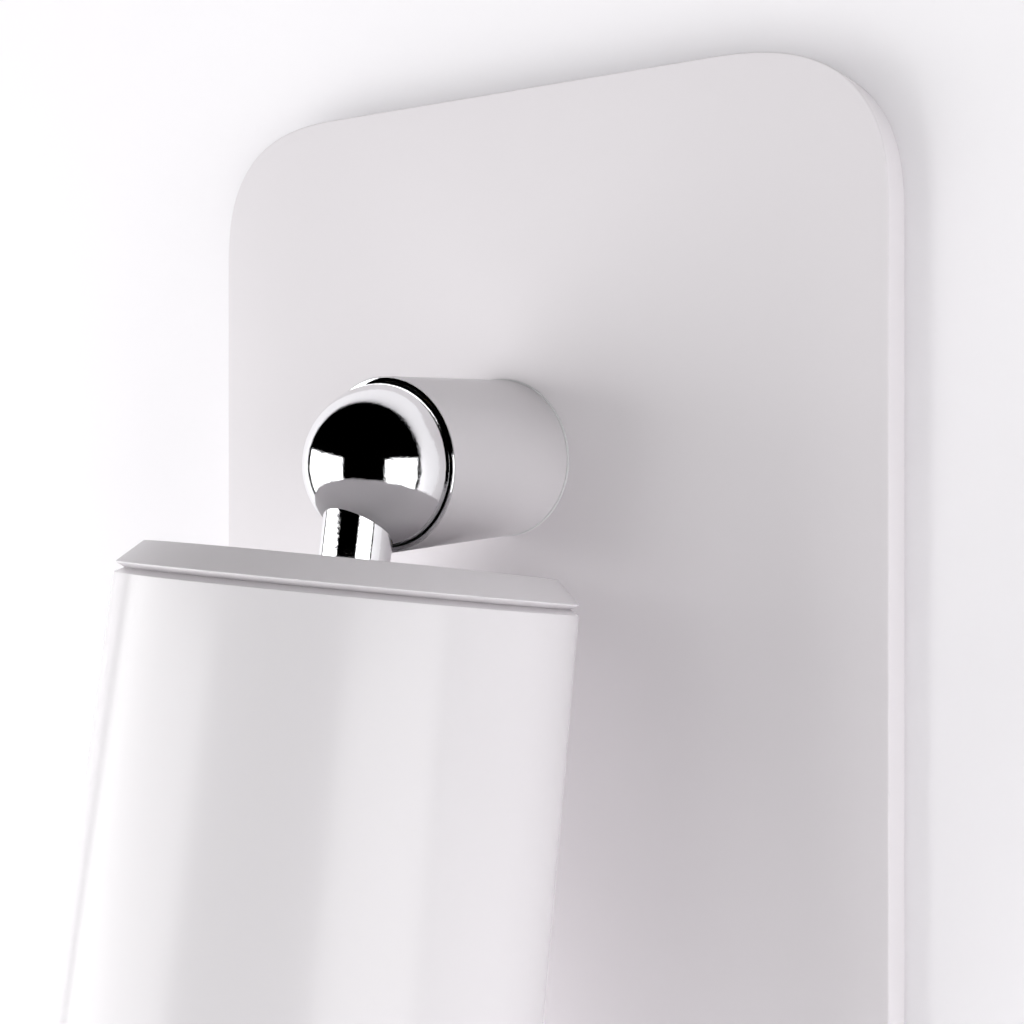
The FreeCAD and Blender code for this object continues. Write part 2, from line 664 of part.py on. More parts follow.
def slot_sector(half_width):
    """The space the fork needs in the ball, over the whole tilt, open towards the back and top."""
    low, high = math.radians(TILT_LOW), math.radians(TILT_HIGH)
    room = FORK_HALF_HEIGHT + JOINT_GAP
    reach = BALL_R * 2
    low_dir = V(0, math.cos(low), math.sin(low))
    high_dir = V(0, math.cos(high), math.sin(high))
    low_edge = V(0, math.sin(low), -math.cos(low)) * room
    high_edge = V(0, -math.sin(high), math.cos(high)) * room
    half_angle = (high - low) / 2
    inner = V(0, math.cos(low + half_angle), math.sin(low + half_angle)) * (-room / math.sin(half_angle))
    corner = V(0, reach, reach)
    points = [inner, low_edge + low_dir * reach, corner, high_edge + high_dir * reach, inner]
    face = Part.Face(Part.makePolygon(points))
    face.translate(V(-half_width, 0, 0))
    return face.extrude(V(2 * half_width, 0, 0))


def ball():
    shell = Part.makeSphere(BALL_R).cut(Part.makeSphere(BALL_R - BALL_WALL))
    corner = V(-2 * BALL_R, BALL_OPENING, BALL_OPENING)
    hidden = Part.makeBox(4 * BALL_R, 2 * BALL_R, 2 * BALL_R, corner)
    shell = shell.cut(hidden)
    shell = shell.cut(slot_sector(FORK_OUTSIDE + JOINT_GAP))
    shell = shell.cut(head_rod(TUBE_R + SNUG, 0, BALL_R))
    return to_head(shell)


def knuckle():
    core = Part.makeSphere(CORE_R)
    core = core.cut(slot_sector(SLOT_HALF))
    core = core.cut(cross_rod(EYE_R + LEAD_SPACE, -SLOT_HALF, SLOT_HALF))
    core = core.cut(head_rod(TUBE_R, TUBE_IN_BALL, CORE_R))
    core = core.cut(head_rod(TUBE_BORE, 0, TUBE_IN_BALL))
    core = core.cut(cross_rod(PIN_R, -CORE_R, CORE_R))
    return to_head(core)


def tilt_pin():
    half = CORE_R - PIN_SHORT
    pin = cross_rod(PIN_R, -half, half)
    ends = [e for e in pin.Edges if abs(abs(e.CenterOfMass.x) - half) < 0.01]
    return to_head(pin.makeChamfer(PIN_CHAMFER, ends))


def tilt_washers():
    start = FORK_OUTSIDE + RUNNING
    washers = []
    for x0 in (start, -start - TILT_WASHER):
        ring = cross_rod(EYE_R, x0, x0 + TILT_WASHER).cut(cross_rod(PIN_R + RUNNING, x0, x0 + TILT_WASHER))
        washers.append(to_head(ring))
    return group(washers)


def stem():
    sleeve = head_rod(STEM_R, 0, STEM_LENGTH).cut(head_rod(TUBE_R + SNUG, 0, STEM_LENGTH))
    return to_head(sleeve.cut(Part.makeSphere(BALL_R)))


def stem_tube():
    tube = head_rod(TUBE_R, TUBE_IN_BALL, TUBE_BOTTOM)
    return to_head(tube.cut(head_rod(TUBE_BORE, TUBE_IN_BALL, TUBE_BOTTOM)))


# ---- head: cap and shade -------------------------------------------------------------------

def shade_screw_places():
    for degrees in (90, 210, 330):
        angle = math.radians(degrees)
        yield SHADE_SCREW_CIRCLE * math.cos(angle), SHADE_SCREW_CIRCLE * math.sin(angle)


def cap():
    top_r = SHADE_R - CAP_CHAMFER_INSET
    profile = [
        (TUBE_R + SNUG, STEM_LENGTH),
        (top_r, STEM_LENGTH),
        (SHADE_R - CAP_RIM_EDGE, CAP_RIM - CAP_RIM_EDGE),
        (SHADE_R, CAP_RIM),
        (SHADE_R - CAP_RIM_EDGE, CAP_RIM + CAP_RIM_EDGE / 2),
        (GROOVE_R, GROOVE_APEX),
        (GROOVE_R - CAP_SKIRT, GROOVE_APEX),
        (top_r - CAP_SKIRT_INSET, CAP_UNDER),
        (TUBE_R + SNUG, CAP_UNDER),
    ]
    body = head_spin(profile)
    for x, y in shade_screw_places():
        body = body.fuse(head_rod(SHADE_SCREW_R + CAP_BOSS_WALL, CAP_UNDER - SNUG, GROOVE_APEX, x, y))
        body = body.cut(head_rod(SHADE_SCREW_R, CAP_UNDER, GROOVE_APEX, x, y))
    return to_head(body)


def shade():
    shoulder_r = SHADE_BORE - SHOULDER_REACH
    shoulder_top = SHOULDER_UNDER - SHOULDER_HEIGHT
    flange_r = SHADE_SCREW_CIRCLE - SHADE_SCREW_HEAD - SHADE_FLANGE_MARGIN
    edge = min(SHADE_EDGE, 0.4 * SHADE_WALL)
    profile = [
        (flange_r, GROOVE_APEX),
        (GROOVE_R, GROOVE_APEX),
        (SHADE_R - SHADE_RIM_EDGE, SHADE_RIM - SHADE_RIM_EDGE / 2),
        (SHADE_R, SHADE_RIM + SHADE_RIM_EDGE),
        (SHADE_R, SHADE_BOTTOM - edge),
        (SHADE_R - edge, SHADE_BOTTOM),
        (SHADE_BORE + edge, SHADE_BOTTOM),
        (SHADE_BORE, SHADE_BOTTOM - edge),
        (SHADE_BORE, SHOULDER_UNDER),
        (shoulder_r, SHOULDER_UNDER),
        (shoulder_r, shoulder_top),
        (SHADE_BORE, shoulder_top),
        (SHADE_BORE, FLANGE_UNDER),
        (flange_r, FLANGE_UNDER),
    ]
    body = head_spin(profile)
    for x, y in shade_screw_places():
        body = body.cut(head_rod(SHADE_SCREW_R + SCREW_CLEAR, GROOVE_APEX, FLANGE_UNDER, x, y))
    return to_head(body)


def shade_screws():
    bottom = FLANGE_UNDER + SHADE_SCREW_HEAD_HEIGHT
    screws = []
    for x, y in shade_screw_places():
        head = head_rod(SHADE_SCREW_HEAD, FLANGE_UNDER, bottom, x, y)
        centre = V(x, y - STEM_OFFSET, -bottom)
        head = head.cut(cross_recess(centre, CROSS_SPAN * SHADE_SCREW_HEAD, CROSS_SLOT, 2 * CROSS_DEPTH))
        screws.append(to_head(head.fuse(head_rod(SHADE_SCREW_R, CAP_UNDER, FLANGE_UNDER, x, y))))
    return group(screws)


# ---- head: lamp, holder, glass -------------------------------------------------------------

def holder_strap():
    """A U-shaped strap under the cap, with two feet turned in."""
    half = STRAP_WIDTH / 2
    inside = STRAP_HALF - STRAP_SHEET
    foot_top = STRAP_FOOT - STRAP_SHEET
    foot_in = HOLDER_SCREW_X - HOLDER_SCREW_HEAD - LOOSE
    top_under = STRAP_TOP + STRAP_SHEET
    strap = head_block(-STRAP_HALF, STRAP_HALF, -half, half, STRAP_TOP, top_under)
    for side in (-1, 1):
        leg = sorted((side * inside, side * STRAP_HALF))
        foot = sorted((side * foot_in, side * STRAP_HALF))
        strap = strap.fuse(head_block(leg[0], leg[1], -half, half, STRAP_TOP, STRAP_FOOT))
        strap = strap.fuse(head_block(foot[0], foot[1], -half, half, foot_top, STRAP_FOOT))
        hole = head_rod(HOLDER_SCREW_R + SCREW_CLEAR, foot_top, STRAP_FOOT, side * HOLDER_SCREW_X)
        strap = strap.cut(hole)
    strap = strap.cut(head_rod(TUBE_R + SNUG, STRAP_TOP, top_under))
    return to_head(strap.removeSplitter())


def stem_washer():
    top = STRAP_TOP + STRAP_SHEET
    ring = head_rod(STEM_WASHER_R, top, top + STEM_WASHER)
    return to_head(ring.cut(head_rod(TUBE_R + SNUG, top, top + STEM_WASHER)))


def stem_nut():
    top = STRAP_TOP + STRAP_SHEET + STEM_WASHER
    nut = hexagon(STEM_NUT_FLATS, STEM_NUT, V(0, -STEM_OFFSET, -top), V(0, 0, -1))
    return to_head(nut.cut(head_rod(TUBE_R, top, top + STEM_NUT)))


def lampholder():
    body = head_rod(HOLDER_R, STRAP_FOOT, HOLDER_BOTTOM)
    socket_top = HOLDER_BOTTOM - LAMP_PIN_LENGTH - LOOSE
    screw_end = STRAP_FOOT + HOLDER_SCREW_BITE
    lead_end = STRAP_FOOT + HOLDER_LEAD_DEPTH
    for side in (-1, 1):
        body = body.cut(head_rod(LAMP_PIN_R + LOOSE, socket_top, HOLDER_BOTTOM, side * LAMP_PIN_SPREAD))
        body = body.cut(head_rod(HOLDER_SCREW_R, STRAP_FOOT, screw_end, side * HOLDER_SCREW_X))
        body = body.cut(head_rod(LEAD_R + LOOSE, STRAP_FOOT, lead_end, side * LAMP_PIN_SPREAD))
    return to_head(body)


def holder_screws():
    seat = STRAP_FOOT - STRAP_SHEET
    top = seat - HOLDER_SCREW_HEAD_HEIGHT
    screws = []
    for side in (-1, 1):
        x = side * HOLDER_SCREW_X
        head = head_rod(HOLDER_SCREW_HEAD, top, seat, x)
        centre = V(x, -STEM_OFFSET, -top)
        head = head.cut(cross_recess(centre, CROSS_SPAN * HOLDER_SCREW_HEAD, STUD_SLOT, 2 * CROSS_DEPTH))
        shank = head_rod(HOLDER_SCREW_R, seat, STRAP_FOOT + HOLDER_SCREW_BITE, x)
        screws.append(to_head(head.fuse(shank)))
    return group(screws)


def lamp_body():
    face_r = LAMP_R - LAMP_RIM_WALL
    profile = [
        (0, LAMP_TOP),
        (LAMP_NECK, LAMP_TOP),
        (LAMP_NECK, LAMP_TOP + LAMP_NECK_LENGTH),
        (LAMP_SHOULDER_R, LAMP_TOP + LAMP_SHOULDER),
        (LAMP_FLARE_R, LAMP_TOP + LAMP_FLARE),
        (LAMP_R, LAMP_FACE - LAMP_RIM_HEIGHT),
        (LAMP_R, LAMP_FACE),
        (face_r, LAMP_FACE),
        (face_r, LAMP_FACE - LENS_DEPTH),
        (0, LAMP_FACE - LENS_DEPTH),
    ]
    return to_head(head_spin(profile))


def lamp_lens():
    radius = LAMP_R - LAMP_RIM_WALL - SNUG
    profile = [
        (0, LAMP_FACE - LENS_DEPTH),
        (radius, LAMP_FACE - LENS_DEPTH),
        (radius, LAMP_FACE - LENS_SUNK),
        (0, LAMP_FACE - LENS_SUNK + LENS_CROWN),
    ]
    return to_head(head_spin(profile))


def lamp_pins():
    foot = LAMP_TOP - LAMP_PIN_LENGTH
    pins = []
    for side in (-1, 1):
        x = side * LAMP_PIN_SPREAD
        pin = head_rod(LAMP_PIN_R, foot, foot + LAMP_PIN_HEAD, x)
        pins.append(to_head(pin.fuse(head_rod(LAMP_PIN_SHANK, foot, LAMP_TOP, x))))
    return group(pins)


def lamp_baffle():
    """A ring that closes the gap between the lamp's rim and the shade."""
    profile = [
        (LAMP_R + LOOSE, SHOULDER_UNDER),
        (SHADE_BORE - SNUG, SHOULDER_UNDER),
        (SHADE_BORE - SNUG, LAMP_FACE),
        (LAMP_R + LOOSE, LAMP_FACE),
    ]
    return to_head(head_spin(profile))


def glass_seal():
    ring = head_rod(SHADE_BORE - SNUG, LAMP_FACE, GLASS_TOP)
    return to_head(ring.cut(head_rod(SHADE_BORE - RING_WIDTH, LAMP_FACE, GLASS_TOP)))


def front_glass():
    radius = SHADE_BORE - LOOSE
    disc = head_rod(radius, GLASS_TOP, RING_TOP)
    rims = [e for e in disc.Edges if abs(e.Length - 2 * math.pi * radius) < 0.1]
    return to_head(disc.makeChamfer(GLASS_EDGE, rims))


def glass_ring():
    inner_r = SHADE_BORE - RING_WIDTH
    outer_r = SHADE_BORE - SNUG
    profile = [
        (inner_r, RING_TOP),
        (outer_r, RING_TOP),
        (outer_r, RING_TOP + RING_DEPTH),
        (outer_r - RING_LIP, RING_TOP + RING_DEPTH),
        (inner_r, RING_TOP + RING_FOOT),
    ]
    return to_head(head_spin(profile))


def head_leads():
    """From the knuckle down through the stem tube to the lampholder."""
    leads = []
    for side in (-1, 1):
        near = side * LEAD_SPREAD
        far = side * LAMP_PIN_SPREAD
        route = [
            V(near, -STEM_OFFSET, -TUBE_IN_BALL + LEAD_BITE),
            V(near, -STEM_OFFSET, -TUBE_BOTTOM - LEAD_BITE),
            V(far, -STEM_OFFSET, -STRAP_FOOT + 4.5),
            V(far, -STEM_OFFSET, -STRAP_FOOT - LEAD_BITE),
        ]
        leads.append(to_head(lead(route)))
    return group(leads)


PIECES = {
    "wall_bracket": wall_bracket,
    "wall_gasket": wall_gasket,
    "back_plate": back_plate,
    "plate_screws": plate_screws,
    "terminal_block": terminal_block,
    "terminal_screws": terminal_screws,
    "terminal_fixing": terminal_fixing,
    "cable_grommet": cable_grommet,
    "earth_stud": earth_stud,
    "earth_nut": earth_nut,
    "earth_lead": earth_lead,
    "supply_leads": supply_leads,
    "arm_seal": arm_seal,
    "arm_tube": arm_tube,
    "arm_screws": arm_screws,
    "arm_collar": arm_collar,
    "arm_bush": arm_bush,
    "stop_pin": stop_pin,
    "spindle": spindle,
    "swivel_washer": swivel_washer,
    "spring_washer": spring_washer,
    "swivel_nut": swivel_nut,
    "swivel_leads": swivel_leads,
    "ball": ball,
    "knuckle": knuckle,
    "tilt_pin": tilt_pin,
    "tilt_washers": tilt_washers,
    "stem": stem,
    "stem_tube": stem_tube,
    "stem_washer": stem_washer,
    "stem_nut": stem_nut,
    "cap": cap,
    "shade": shade,
    "shade_screws": shade_screws,
    "holder_strap": holder_strap,
    "holder_screws": holder_screws,
    "lampholder": lampholder,
    "lamp_body": lamp_body,
    "lamp_lens": lamp_lens,
    "lamp_pins": lamp_pins,
    "lamp_baffle": lamp_baffle,
    "glass_seal": glass_seal,
    "front_glass": front_glass,
    "glass_ring": glass_ring,
    "head_leads": head_leads,
}

for piece_name, make in PIECES.items():
    piece = make()
    save(piece_name, piece)
    print(piece_name, len(piece.Solids), round(piece.Volume, 1), piece.isValid())
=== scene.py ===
import json
import math

import bmesh
import bpy
from mathutils import Matrix, Vector


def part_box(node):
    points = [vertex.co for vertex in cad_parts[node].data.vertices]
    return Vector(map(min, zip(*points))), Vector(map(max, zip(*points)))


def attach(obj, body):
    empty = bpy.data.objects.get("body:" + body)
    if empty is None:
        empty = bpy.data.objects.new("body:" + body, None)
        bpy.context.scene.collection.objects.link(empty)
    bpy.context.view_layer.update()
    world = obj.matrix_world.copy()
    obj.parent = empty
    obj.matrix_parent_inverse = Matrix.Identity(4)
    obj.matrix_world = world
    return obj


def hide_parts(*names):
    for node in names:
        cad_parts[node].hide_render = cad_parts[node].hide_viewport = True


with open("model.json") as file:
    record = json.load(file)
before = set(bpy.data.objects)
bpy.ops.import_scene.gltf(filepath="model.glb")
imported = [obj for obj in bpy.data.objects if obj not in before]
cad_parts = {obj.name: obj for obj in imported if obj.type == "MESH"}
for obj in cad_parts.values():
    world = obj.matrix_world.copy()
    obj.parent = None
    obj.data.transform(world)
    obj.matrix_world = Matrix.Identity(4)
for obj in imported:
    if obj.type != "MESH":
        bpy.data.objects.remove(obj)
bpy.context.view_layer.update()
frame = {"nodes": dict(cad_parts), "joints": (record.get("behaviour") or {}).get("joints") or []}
NODES = frame["nodes"]
JOINT = Vector(frame["joints"][0]["pos_m"])

# ---- driving values: metres and degrees --------------------------------------------------------

MM = 0.001
TILT_REST = 9.8             # the head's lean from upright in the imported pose
TILT_LOW = 6.0
TILT_HIGH = 80.0
TURNS = 192                 # facets round a turned piece
CORNER_STEPS = 6
CORNER_SHARE = 0.45         # most of a side that one corner's rounding may take
ON_AXIS = 1e-7              # a radius below this is a point on the axis
SMOOTH_ANGLE = 35.0         # a sharper edge than this stays crisp

CAMERA_TURN = 33.82         # round from straight ahead of the wall
CAMERA_BACK = 0.2291        # joint to the camera, along its view
CAMERA_SIDE = 0.02317       # joint to the camera, across its view
CAMERA_RISE = 0.01018       # camera above the joint
CAMERA_LENS = 44.47
CAMERA_SHIFT = -0.1014
CAMERA_SENSOR = 36          # millimetres, as the lens is
CAMERA_CLIP = 0.005


# ---- shapes read from the frame ------------------------------------------------------------------

def head_points(node):
    """A head node's corners in the head's own upright frame, with the joint at the origin."""
    upright = Matrix.Rotation(math.radians(TILT_REST), 3, "X")
    return [upright @ (v.co - JOINT) for v in NODES[node].data.vertices]


class HeadPart:
    """Radius, first drop and last drop of a piece turned about the head's axis."""

    def __init__(self, node):
        points = head_points(node)
        self.radius = max(p.x for p in points)
        self.top = -max(p.z for p in points)
        self.bottom = -min(p.z for p in points)
        self.axis = (max(p.y for p in points) + min(p.y for p in points)) / 2


class OutPart:
    """Radius, near and far depth of a piece turned about the arm's axis."""

    def __init__(self, node):
        low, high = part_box(node)
        self.radius = (high.x - low.x) / 2
        self.back = -high.y
        self.front = -low.y


# ---- mesh helpers ----------------------------------------------------------------------------------

def make_object(name, bm, smooth_angle=SMOOTH_ANGLE):
    """Turns a bmesh into a linked object, smooth but for its sharp edges."""
    bmesh.ops.recalc_face_normals(bm, faces=bm.faces)
    mesh = bpy.data.meshes.new(name)
    bm.to_mesh(mesh)
    bm.free()
    for polygon in mesh.polygons:
        polygon.use_smooth = True
    mesh.set_sharp_from_angle(angle=math.radians(smooth_angle))
    obj = bpy.data.objects.new(name, mesh)
    bpy.context.scene.collection.objects.link(obj)
    return obj


def round_corners(profile):
    """Replaces each (radius, along, rounding) corner of a closed profile by an arc of that rounding."""
    points = []
    count = len(profile)
    for i, (r, a, rounding) in enumerate(profile):
        here = Vector((r, a))
        if rounding <= 0:
            points.append(here)
            continue
        before = Vector(profile[i - 1][:2]) - here
        after = Vector(profile[(i + 1) % count][:2]) - here
        half = before.angle(after) / 2
        room = CORNER_SHARE * min(before.length, after.length)
        setback = min(rounding / math.tan(half), room)
        bend = setback * math.tan(half)
        middle = (before.normalized() + after.normalized()).normalized()
        centre = here + middle * (bend / math.sin(half))
        start = (here + before.normalized() * setback - centre).normalized()
        stop = (here + after.normalized() * setback - centre).normalized()
        for k in range(CORNER_STEPS + 1):
            points.append(centre + start.slerp(stop, k / CORNER_STEPS) * bend)
    return points


def add_ring(bm, radius, height):
    """One ring of corners about +Z, or a single corner on the axis."""
    if radius < ON_AXIS:
        return [bm.verts.new((0, 0, height))]
    ring = []
    for k in range(TURNS):
        angle = 2 * math.pi * k / TURNS
        ring.append(bm.verts.new((radius * math.cos(angle), radius * math.sin(angle), height)))
    return ring


def join_rings(bm, first, second):
    """Faces between two rings, either of which may be a single corner on the axis."""
    if len(first) == 1 and len(second) == 1:
        return
    for k in range(TURNS):
        n = (k + 1) % TURNS
        if len(first) == 1:
            bm.faces.new((first[0], second[k], second[n]))
        elif len(second) == 1:
            bm.faces.new((first[k], second[0], first[n]))
        else:
            bm.faces.new((first[k], second[k], second[n], first[n]))


def turned(name, profile):
    """A closed ring turned about +Z from (radius, height, rounding) corners."""
    bm = bmesh.new()
    rings = [add_ring(bm, p.x, p.y) for p in round_corners(profile)]
    for i, ring in enumerate(rings):
        join_rings(bm, ring, rings[(i + 1) % len(rings)])
    return make_object(name, bm)


def out_from_wall(obj):
    """Turns a piece made about +Z so that it points out from the wall, along -Y."""
    obj.data.transform(Matrix.Rotation(math.radians(90), 4, "X"))
    return obj


def tilt_to_head(obj, axis_y):
    """Carries a piece made hanging below the origin to the tilted head's axis."""
    lean = Matrix.Rotation(math.radians(-TILT_REST), 4, "X")
    obj.data.transform(Matrix.Translation(JOINT) @ lean @ Matrix.Translation((0, axis_y, 0)))
    return obj


def head_turned(name, node, profile):
    """Turns (radius, drop, rounding) corners about the head axis and stands the result for a node."""
    obj = turned(name, [(r, -drop, rounding) for r, drop, rounding in profile])
    tilt_to_head(obj, HeadPart(node).axis)
    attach(obj, "head")
    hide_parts(node)
    return obj


def cut_with(obj, cutters):
    """Cuts closed cutter objects out of a piece, and removes them."""
    for cutter in cutters:
        modifier = obj.modifiers.new("cut", "BOOLEAN")
        modifier.operation = "DIFFERENCE"
        modifier.solver = "EXACT"
        modifier.object = cutter
    graph = bpy.context.evaluated_depsgraph_get()
    mesh = bpy.data.meshes.new_from_object(obj.evaluated_get(graph))
    obj.modifiers.clear()
    obj.data = mesh
    for cutter in cutters:
        bpy.data.objects.remove(cutter)
    for polygon in mesh.polygons:
        polygon.use_smooth = True
    mesh.set_sharp_from_angle(angle=math.radians(SMOOTH_ANGLE))
    return obj


def prism(name, outline, x0, x1):
    """A prism along X over a (y, z) outline."""
    bm = bmesh.new()
    left = [bm.verts.new((x0, y, z)) for y, z in outline]
    right = [bm.verts.new((x1, y, z)) for y, z in outline]
    bm.faces.new(left)
    bm.faces.new(right[::-1])
    for i in range(len(outline)):
        n = (i + 1) % len(outline)
        bm.faces.new((left[i], left[n], right[n], right[i]))
    return make_object(name, bm)


# ---- materials -------------------------------------------------------------------------------------

MIDDLE_LOW = 0.3            # most of a noise lies between these two
MIDDLE_HIGH = 0.7
PAINT_RELIEF = 0.06 * MM
METAL_RELIEF = 0.04 * MM
PLASTIC_RELIEF = 0.05 * MM


def new_material(name):
    material = bpy.data.materials.new(name)
    material.use_nodes = True
    tree = material.node_tree
    shader = tree.nodes["Principled BSDF"]
    return material, tree, shader


def noise(tree, scale, detail=4.0, roughness=0.5):
    """Noise fixed to the object, with scale features to the metre."""
    place = tree.nodes.new("ShaderNodeTexCoord")
    texture = tree.nodes.new("ShaderNodeTexNoise")
    texture.inputs["Scale"].default_value = scale
    texture.inputs["Detail"].default_value = detail
    texture.inputs["Roughness"].default_value = roughness
    tree.links.new(place.outputs["Object"], texture.inputs["Vector"])
    return texture.outputs["Fac"]


def colour_between(tree, factor, dark, light, low=MIDDLE_LOW, high=MIDDLE_HIGH):
    ramp = tree.nodes.new("ShaderNodeValToRGB")
    ramp.color_ramp.elements[0].position = low
    ramp.color_ramp.elements[0].color = (*dark, 1)
    ramp.color_ramp.elements[1].position = high
    ramp.color_ramp.elements[1].color = (*light, 1)
    tree.links.new(factor, ramp.inputs["Fac"])
    return ramp.outputs["Color"]


def value_between(tree, factor, low, high, start=MIDDLE_LOW, stop=MIDDLE_HIGH):
    spread = tree.nodes.new("ShaderNodeMapRange")
    spread.inputs["From Min"].default_value = start
    spread.inputs["From Max"].default_value = stop
    spread.inputs["To Min"].default_value = low
    spread.inputs["To Max"].default_value = high
    tree.links.new(factor, spread.inputs["Value"])
    return spread.outputs["Result"]


def bump(tree, shader, height, strength, distance):
    node = tree.nodes.new("ShaderNodeBump")
    node.inputs["Strength"].default_value = strength
    node.inputs["Distance"].default_value = distance
    tree.links.new(height, node.inputs["Height"])
    tree.links.new(node.outputs["Normal"], shader.inputs["Normal"])


def painted(name, dark, light, rough, coat=0.0, coat_rough=0.1, peel=0.12):
    """Painted or powder-coated metal: faint drift in colour and gloss, and orange peel."""
    material, tree, shader = new_material(name)
    drift = noise(tree, 14.0, 1.0)
    tree.links.new(colour_between(tree, drift, dark, light, 0.0, 1.0), shader.inputs["Base Color"])
    gloss = value_between(tree, noise(tree, 45.0, 1.0), *rough, 0.0, 1.0)
    tree.links.new(gloss, shader.inputs["Roughness"])
    bump(tree, shader, noise(tree, 900.0, 2.0), peel, PAINT_RELIEF)
    shader.inputs["Coat Weight"].default_value = coat
    shader.inputs["Coat Roughness"].default_value = coat_rough
    return material


def metal(name, dark, light, rough, grain, relief):
    """Bare or plated metal: uneven tone, and a grain that shows in its gloss and its surface."""
    material, tree, shader = new_material(name)
    shader.inputs["Metallic"].default_value = 1.0
    tree.links.new(colour_between(tree, noise(tree, 40.0), dark, light), shader.inputs["Base Color"])
    fine = noise(tree, grain, 5.0, 0.6)
    tree.links.new(value_between(tree, fine, *rough), shader.inputs["Roughness"])
    bump(tree, shader, fine, relief, METAL_RELIEF)
    return material


def plastic(name, dark, light, rough, grain=700.0, relief=0.15, through=0.0):
    """Moulded or woven stuff: uneven tone and gloss over a fine grain."""
    material, tree, shader = new_material(name)
    tree.links.new(colour_between(tree, noise(tree, 30.0), dark, light), shader.inputs["Base Color"])
    tree.links.new(value_between(tree, noise(tree, 120.0), *rough), shader.inputs["Roughness"])
    bump(tree, shader, noise(tree, grain, 3.0), relief, PLASTIC_RELIEF)
    shader.inputs["Transmission Weight"].default_value = through
    return material


# The plate's white is the same paint as the cap's, made lighter to stand in for light falling on it: painted
# light.
PLATE_SATIN_PAINTED_LIGHT = painted("white_satin_plate_painted_light", (0.735, 0.705, 0.727), (0.770, 0.738, 0.762), (0.38, 0.46))
# The arm's white is the same paint made darker to stand in for shade on it: painted shade. Its coat is real
# gloss.
ARM_WHITE_PAINTED_SHADE = painted(
    "white_arm_paint_painted_shade", (0.598, 0.574, 0.593), (0.629, 0.604, 0.624), (0.30, 0.38),
    coat=0.5, coat_rough=0.16
)
WHITE_SATIN = painted("white_satin_paint", (0.675, 0.648, 0.668), (0.710, 0.682, 0.702), (0.40, 0.50))
WHITE_GLOSS = painted(
    "white_gloss_paint", (0.735, 0.712, 0.732), (0.765, 0.741, 0.762), (0.24, 0.28),
    coat=0.2, coat_rough=0.2, peel=0.04
)
CHROME = metal("polished_chrome", (0.86, 0.86, 0.87), (0.90, 0.90, 0.91), (0.02, 0.05), 1100.0, 0.5)
ZINC = metal("zinc_plated_sheet", (0.46, 0.47, 0.47), (0.62, 0.63, 0.62), (0.28, 0.5), 220.0, 0.15)
STEEL = metal("screw_steel", (0.50, 0.50, 0.51), (0.64, 0.64, 0.65), (0.22, 0.38), 500.0, 0.12)
BRASS = metal("turned_brass", (0.62, 0.44, 0.18), (0.74, 0.56, 0.27), (0.2, 0.34), 500.0, 0.12)
RUBBER = plastic("soft_seal", (0.60, 0.60, 0.61), (0.68, 0.68, 0.69), (0.6, 0.75), 900.0, 0.3)
TERMINAL = plastic("terminal_polyamide", (0.74, 0.72, 0.64), (0.80, 0.78, 0.71), (0.45, 0.6))
NYLON = plastic("friction_nylon", (0.78, 0.78, 0.75), (0.85, 0.85, 0.82), (0.3, 0.42))
LEAD = plastic("glass_braid_sleeve", (0.62, 0.58, 0.50), (0.80, 0.77, 0.70), (0.55, 0.75), 1600.0, 0.6)
EARTH = plastic("earth_sleeve", (0.16, 0.40, 0.06), (0.62, 0.60, 0.08), (0.4, 0.55))
CERAMIC = plastic("glazed_ceramic", (0.80, 0.78, 0.72), (0.88, 0.86, 0.81), (0.16, 0.28), 200.0, 0.1)
LAMP_WHITE = plastic("lamp_housing", (0.76, 0.76, 0.76), (0.82, 0.82, 0.82), (0.3, 0.42))
LENS = plastic(
    "lamp_lens_moulding", (0.80, 0.82, 0.84), (0.88, 0.90, 0.91), (0.12, 0.22), 300.0, 0.2, through=0.12
)


def clear_glass():
    """Clear glass with a faint green cast, partly see-through so that the lamp behind it is lit."""
    material, tree, shader = new_material("clear_front_glass")
    tint = colour_between(tree, noise(tree, 25.0, 2.0), (0.90, 0.955, 0.94), (0.95, 0.985, 0.97))
    tree.links.new(tint, shader.inputs["Base Color"])
    shader.inputs["Transmission Weight"].default_value = 1.0
    shader.inputs["IOR"].default_value = 1.5
    shader.inputs["Alpha"].default_value = 0.45
    tree.links.new(value_between(tree, noise(tree, 90.0), 0.0, 0.03), shader.inputs["Roughness"])
    return material


GLASS = clear_glass()

NODE_MATERIALS = {
    "wall_bracket": ZINC, "wall_gasket": RUBBER, "back_plate": PLATE_SATIN_PAINTED_LIGHT, "plate_screws": STEEL,
    "terminal_block": TERMINAL, "terminal_screws": BRASS, "terminal_fixing": STEEL, "cable_grommet": RUBBER,
    "earth_stud": BRASS, "earth_nut": BRASS, "earth_lead": EARTH, "supply_leads": LEAD,
    "arm_seal": RUBBER, "arm_tube": ARM_WHITE_PAINTED_SHADE, "arm_screws": STEEL, "arm_collar": CHROME,
    "arm_bush": BRASS, "stop_pin": STEEL, "spindle": STEEL, "swivel_washer": NYLON,
    "spring_washer": STEEL, "swivel_nut": STEEL, "swivel_leads": LEAD, "ball": CHROME,
    "knuckle": BRASS, "tilt_pin": STEEL, "tilt_washers": NYLON, "stem": CHROME, "stem_tube": ZINC,
    "stem_washer": ZINC, "stem_nut": ZINC, "cap": WHITE_SATIN, "shade": WHITE_GLOSS, "shade_screws": STEEL,
    "holder_strap": ZINC, "holder_screws": STEEL, "lampholder": CERAMIC, "lamp_body": LAMP_WHITE,
    "lamp_lens": LENS, "lamp_pins": BRASS, "lamp_baffle": WHITE_SATIN, "glass_seal": RUBBER,
    "front_glass": GLASS, "glass_ring": CHROME, "head_leads": LEAD,
}

for node_name, material in NODE_MATERIALS.items():
    node = NODES[node_name]
    node.data.materials.clear()
    node.data.materials.append(material)


def finish_piece(obj, material):
    obj.data.materials.clear()
    obj.data.materials.append(material)
    return obj


# ---- wall unit -----------------------------------------------------------------------------------------

